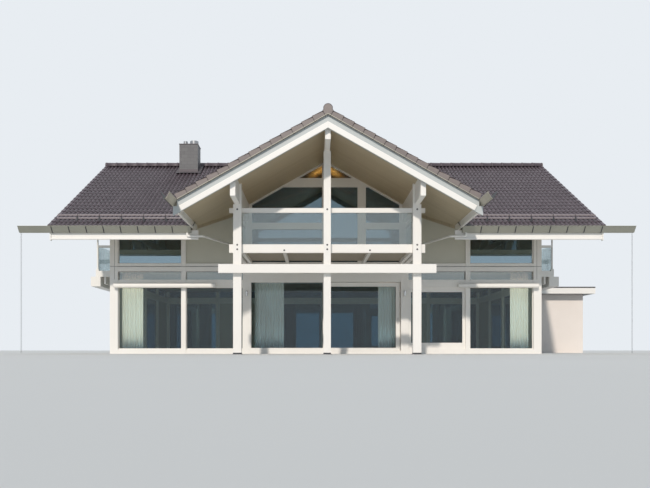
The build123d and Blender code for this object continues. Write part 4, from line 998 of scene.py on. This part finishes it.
chimney = {"x": (-5.251, -4.585), "y": (-0.8, -0.2), "top": 7.588, "lip": 0.012, "apron": 0.15, "side": 0.11,
           "back": 0.05, "upstand": 0.10, "lead": 0.004}


(x0, x1), (y0, y1) = chimney["x"], chimney["y"]
lip, side, back = chimney["lip"], chimney["side"], y1 + chimney["back"]
top = bmesh.new()
rim = rectangle(x0 - lip, x1 + lip, y0 - lip, y1 + lip)
prism(top, rim, lambda x, y: (x, y, chimney["top"] - 0.02), (0, 0, 0.026))
solidPiece("chimneyCap", top, leadSheet, "chimney_slate", bevel=0.003)

apron = bmesh.new()
for left, right, low, high in ((x0 - side, x1 + side, y0 - chimney["apron"], y0), (x0 - side, x0, y0, back),
                               (x1, x1 + side, y0, back)):
    rows = [[apron.verts.new((left + (right - left) * i / 4, y, mainTop(y) + 0.010)) for i in range(5)]
            for y in (low, (low + high) / 2, high)]
    bridge(apron, rows, closed=False)
collar = rectangle(x0 - 0.006, x1 + 0.006, y0 - 0.006, y1)
rings = [[apron.verts.new((x, y, mainTop(y) + lift)) for x, y in collar] for lift in (0.0, chimney["upstand"])]
bridge(apron, rings)
sheet = solidPiece("chimneyApron", apron, leadSheet, "dark_metal").modifiers.new("sheet", "SOLIDIFY")
sheet.thickness = chimney["lead"]
sheet.offset = 0.0
print("chimney dressed")


# Curtains of sheer voile, gathered on a track under the ceiling

curtain = {"top": 2.603, "bottom": 0.178, "middle": -3.595, "swing": 0.040, "pleat": 0.085, "rows": 16}


def curtainPiece(name, low, high, seed):
    draw = random.Random(seed)
    width = high - low - 0.02
    pleats = max(3, round(width / curtain["pleat"]))
    steps = pleats * 10
    lean = [draw.uniform(-0.25, 0.25) for _ in range(pleats + 2)]
    depth = [draw.uniform(0.75, 1.0) for _ in range(pleats + 2)]
    height = curtain["top"] - curtain["bottom"]
    mesh = bmesh.new()
    uv = mesh.loops.layers.uv.new("cloth")
    grid, marks = [], []
    for k in range(curtain["rows"] + 1):
        down = k / curtain["rows"]
        swing = curtain["swing"] * (0.62 + 0.38 * down)
        line, mark = [], []
        for i in range(steps + 1):
            at = pleats * i / steps
            cell, part = int(at), at - int(at)
            turn = (lean[cell] * (1 - part) + lean[cell + 1] * part) * (0.7 + 0.3 * down)
            size = depth[cell] * (1 - part) + depth[cell + 1] * part
            x = low + 0.01 + width * i / steps + 0.003 * math.sin(2 * math.pi * at + 1.2) * down
            y = curtain["middle"] + swing * size * math.sin(2 * math.pi * at + turn)
            here = Vector((x, y, curtain["top"] - height * down))
            mark.append(mark[-1] + (here - line[-1]).length if line else 0.0)
            line.append(here)
        grid.append([mesh.verts.new(p) for p in line])
        marks.append(mark)
    for k in range(curtain["rows"]):
        for i in range(steps):
            corners = ((k, i), (k + 1, i), (k + 1, i + 1), (k, i + 1))
            face = mesh.faces.new([grid[a][b] for a, b in corners])
            face.smooth = True
            for loop, (a, b) in zip(face.loops, corners):
                loop[uv].uv = (marks[a][b], height * (1 - a / curtain["rows"]))
    piece = finishPiece(name, meshData(name, mesh, voile), "curtain_fabric", ("curtains",))


curtainPiece("curtainOuterLeft", -6.56, -5.86, 1)
curtainPiece("curtainCentreLeft", -2.29, -1.33, 2)
curtainPiece("curtainCentreRight", 1.68, 2.25, 3)
curtainPiece("curtainOuterRight", 5.93, 6.54, 4)


# Handle of the terrace door, on its closing stile

handle = {"x": 2.295, "low": 0.95, "high": 1.15, "face": -3.88, "away": 0.034, "radius": 0.008,
          "armHalf": 0.007, "armHeight": 0.016, "inset": 0.03}
grip = bmesh.new()
x, r, low, high = handle["x"], handle["radius"], handle["low"], handle["high"]
profile = [(r - 0.002, low), (r, low + 0.002), (r, high - 0.002), (r - 0.002, high)]
turned(grip, profile, (x, handle["face"] - handle["away"]), 12)
for z in (low + handle["inset"], high - handle["inset"] - handle["armHeight"]):
    section = rectangle(x - handle["armHalf"], x + handle["armHalf"], z, z + handle["armHeight"])
    prism(grip, section, lambda a, b: (a, handle["face"], b), (0, -handle["away"], 0))
solidPiece("terraceDoorHandle", grip, stainless, "stainless_steel", body="terrace_door", bevel=0.001)
print("curtains and fittings placed")


# Camera, light and floor

view = {"lens": 38.77, "place": (-0.34, -26.15, 0.12), "shiftX": 0.0154, "shiftY": 0.1631}
camera = bpy.data.cameras.new("camera")
camera.lens = view["lens"]
camera.sensor_width = 36.0
camera.shift_x = view["shiftX"]
camera.shift_y = view["shiftY"]
camera.clip_end = 400.0
cameraObject = placed("camera", camera)
cameraObject.location = view["place"]
cameraObject.rotation_euler = (quarter, 0, 0)
bpy.context.scene.camera = cameraObject

light = {"sun": 2.4, "sunAngle": 2.0, "sunHeight": 34.0, "sunLeft": 12.0, "sunColour": "#fff5ea",
         "sky": 0.56, "skyColour": "#d2e4f7", "backdrop": "#e8edf2", "outerRooms": 34.0, "middleRoom": 12.0,
         "loft": 8.0, "balcony": 10.0}
sun = bpy.data.lights.new("sun", "SUN")
sun.energy = light["sun"]
sun.angle = math.radians(light["sunAngle"])
sun.color = linear(light["sunColour"])[:3]
sunTurn = Euler((math.radians(90 - light["sunHeight"]), 0, -math.radians(light["sunLeft"])))
placed("sun", sun).rotation_euler = sunTurn


def areaLight(name, place, size, energy, colour, tilt):
    source = bpy.data.lights.new(name, "AREA")
    source.shape = "RECTANGLE"
    source.size, source.size_y = size
    source.energy = energy
    source.color = linear(colour)[:3]
    sourceObject = placed(name, source)
    sourceObject.location = place
    sourceObject.rotation_euler = (math.radians(tilt), 0, 0)
    sourceObject.visible_glossy = False


areaLight("leftRoomLight", (-5.1, -3.78, 1.4), (3.0, 2.0), light["outerRooms"], "#ffe6c4", 90)
areaLight("middleRoomLight", (0, -3.78, 1.4), (4.6, 2.0), light["middleRoom"], "#fff0dc", 90)
areaLight("rightRoomLight", (5.1, -3.78, 1.4), (3.0, 2.0), light["outerRooms"], "#ffe6c4", 90)
areaLight("loftLight", (0, -3.2, 5.65), (0.5, 0.5), light["loft"], "#ffd9a8", 180)
areaLight("balconyLight", (0, -5.3, 3.1), (4.4, 1.8), light["balcony"], "#ffecd2", 180)

world = bpy.data.worlds.new("studio")
bpy.context.scene.world = world
world.use_nodes = True
sky = world.node_tree
sky.nodes.clear()
path = addNode(sky, "ShaderNodeLightPath").outputs
seen = maths(sky, "MAXIMUM", path["Is Camera Ray"], path["Is Glossy Ray"])
seen = maths(sky, "MAXIMUM", seen, path["Is Transmission Ray"])
lit = addNode(sky, "ShaderNodeBackground", {"Color": light["skyColour"], "Strength": light["sky"]})
shown = addNode(sky, "ShaderNodeBackground", {"Color": light["backdrop"], "Strength": 1.0})
both = addNode(sky, "ShaderNodeMixShader", {0: seen, 1: lit, 2: shown})
addNode(sky, "ShaderNodeOutputWorld", {"Surface": both})

floorReach = 150.0
floorMesh = bpy.data.meshes.new("floor")
floorCorners = [(x, y, 0) for x, y in rectangle(-floorReach, floorReach, -floorReach, floorReach)]
floorMesh.from_pydata(floorCorners, [], [(0, 1, 2, 3)])
floorMesh.materials.append(mottled("paleFloor", "#d3d3d0", "#dadad7", 0.2, 0.9))
placed("floor", floorMesh)

bpy.context.scene.view_settings.view_transform = "Standard"
print("camera and light set")
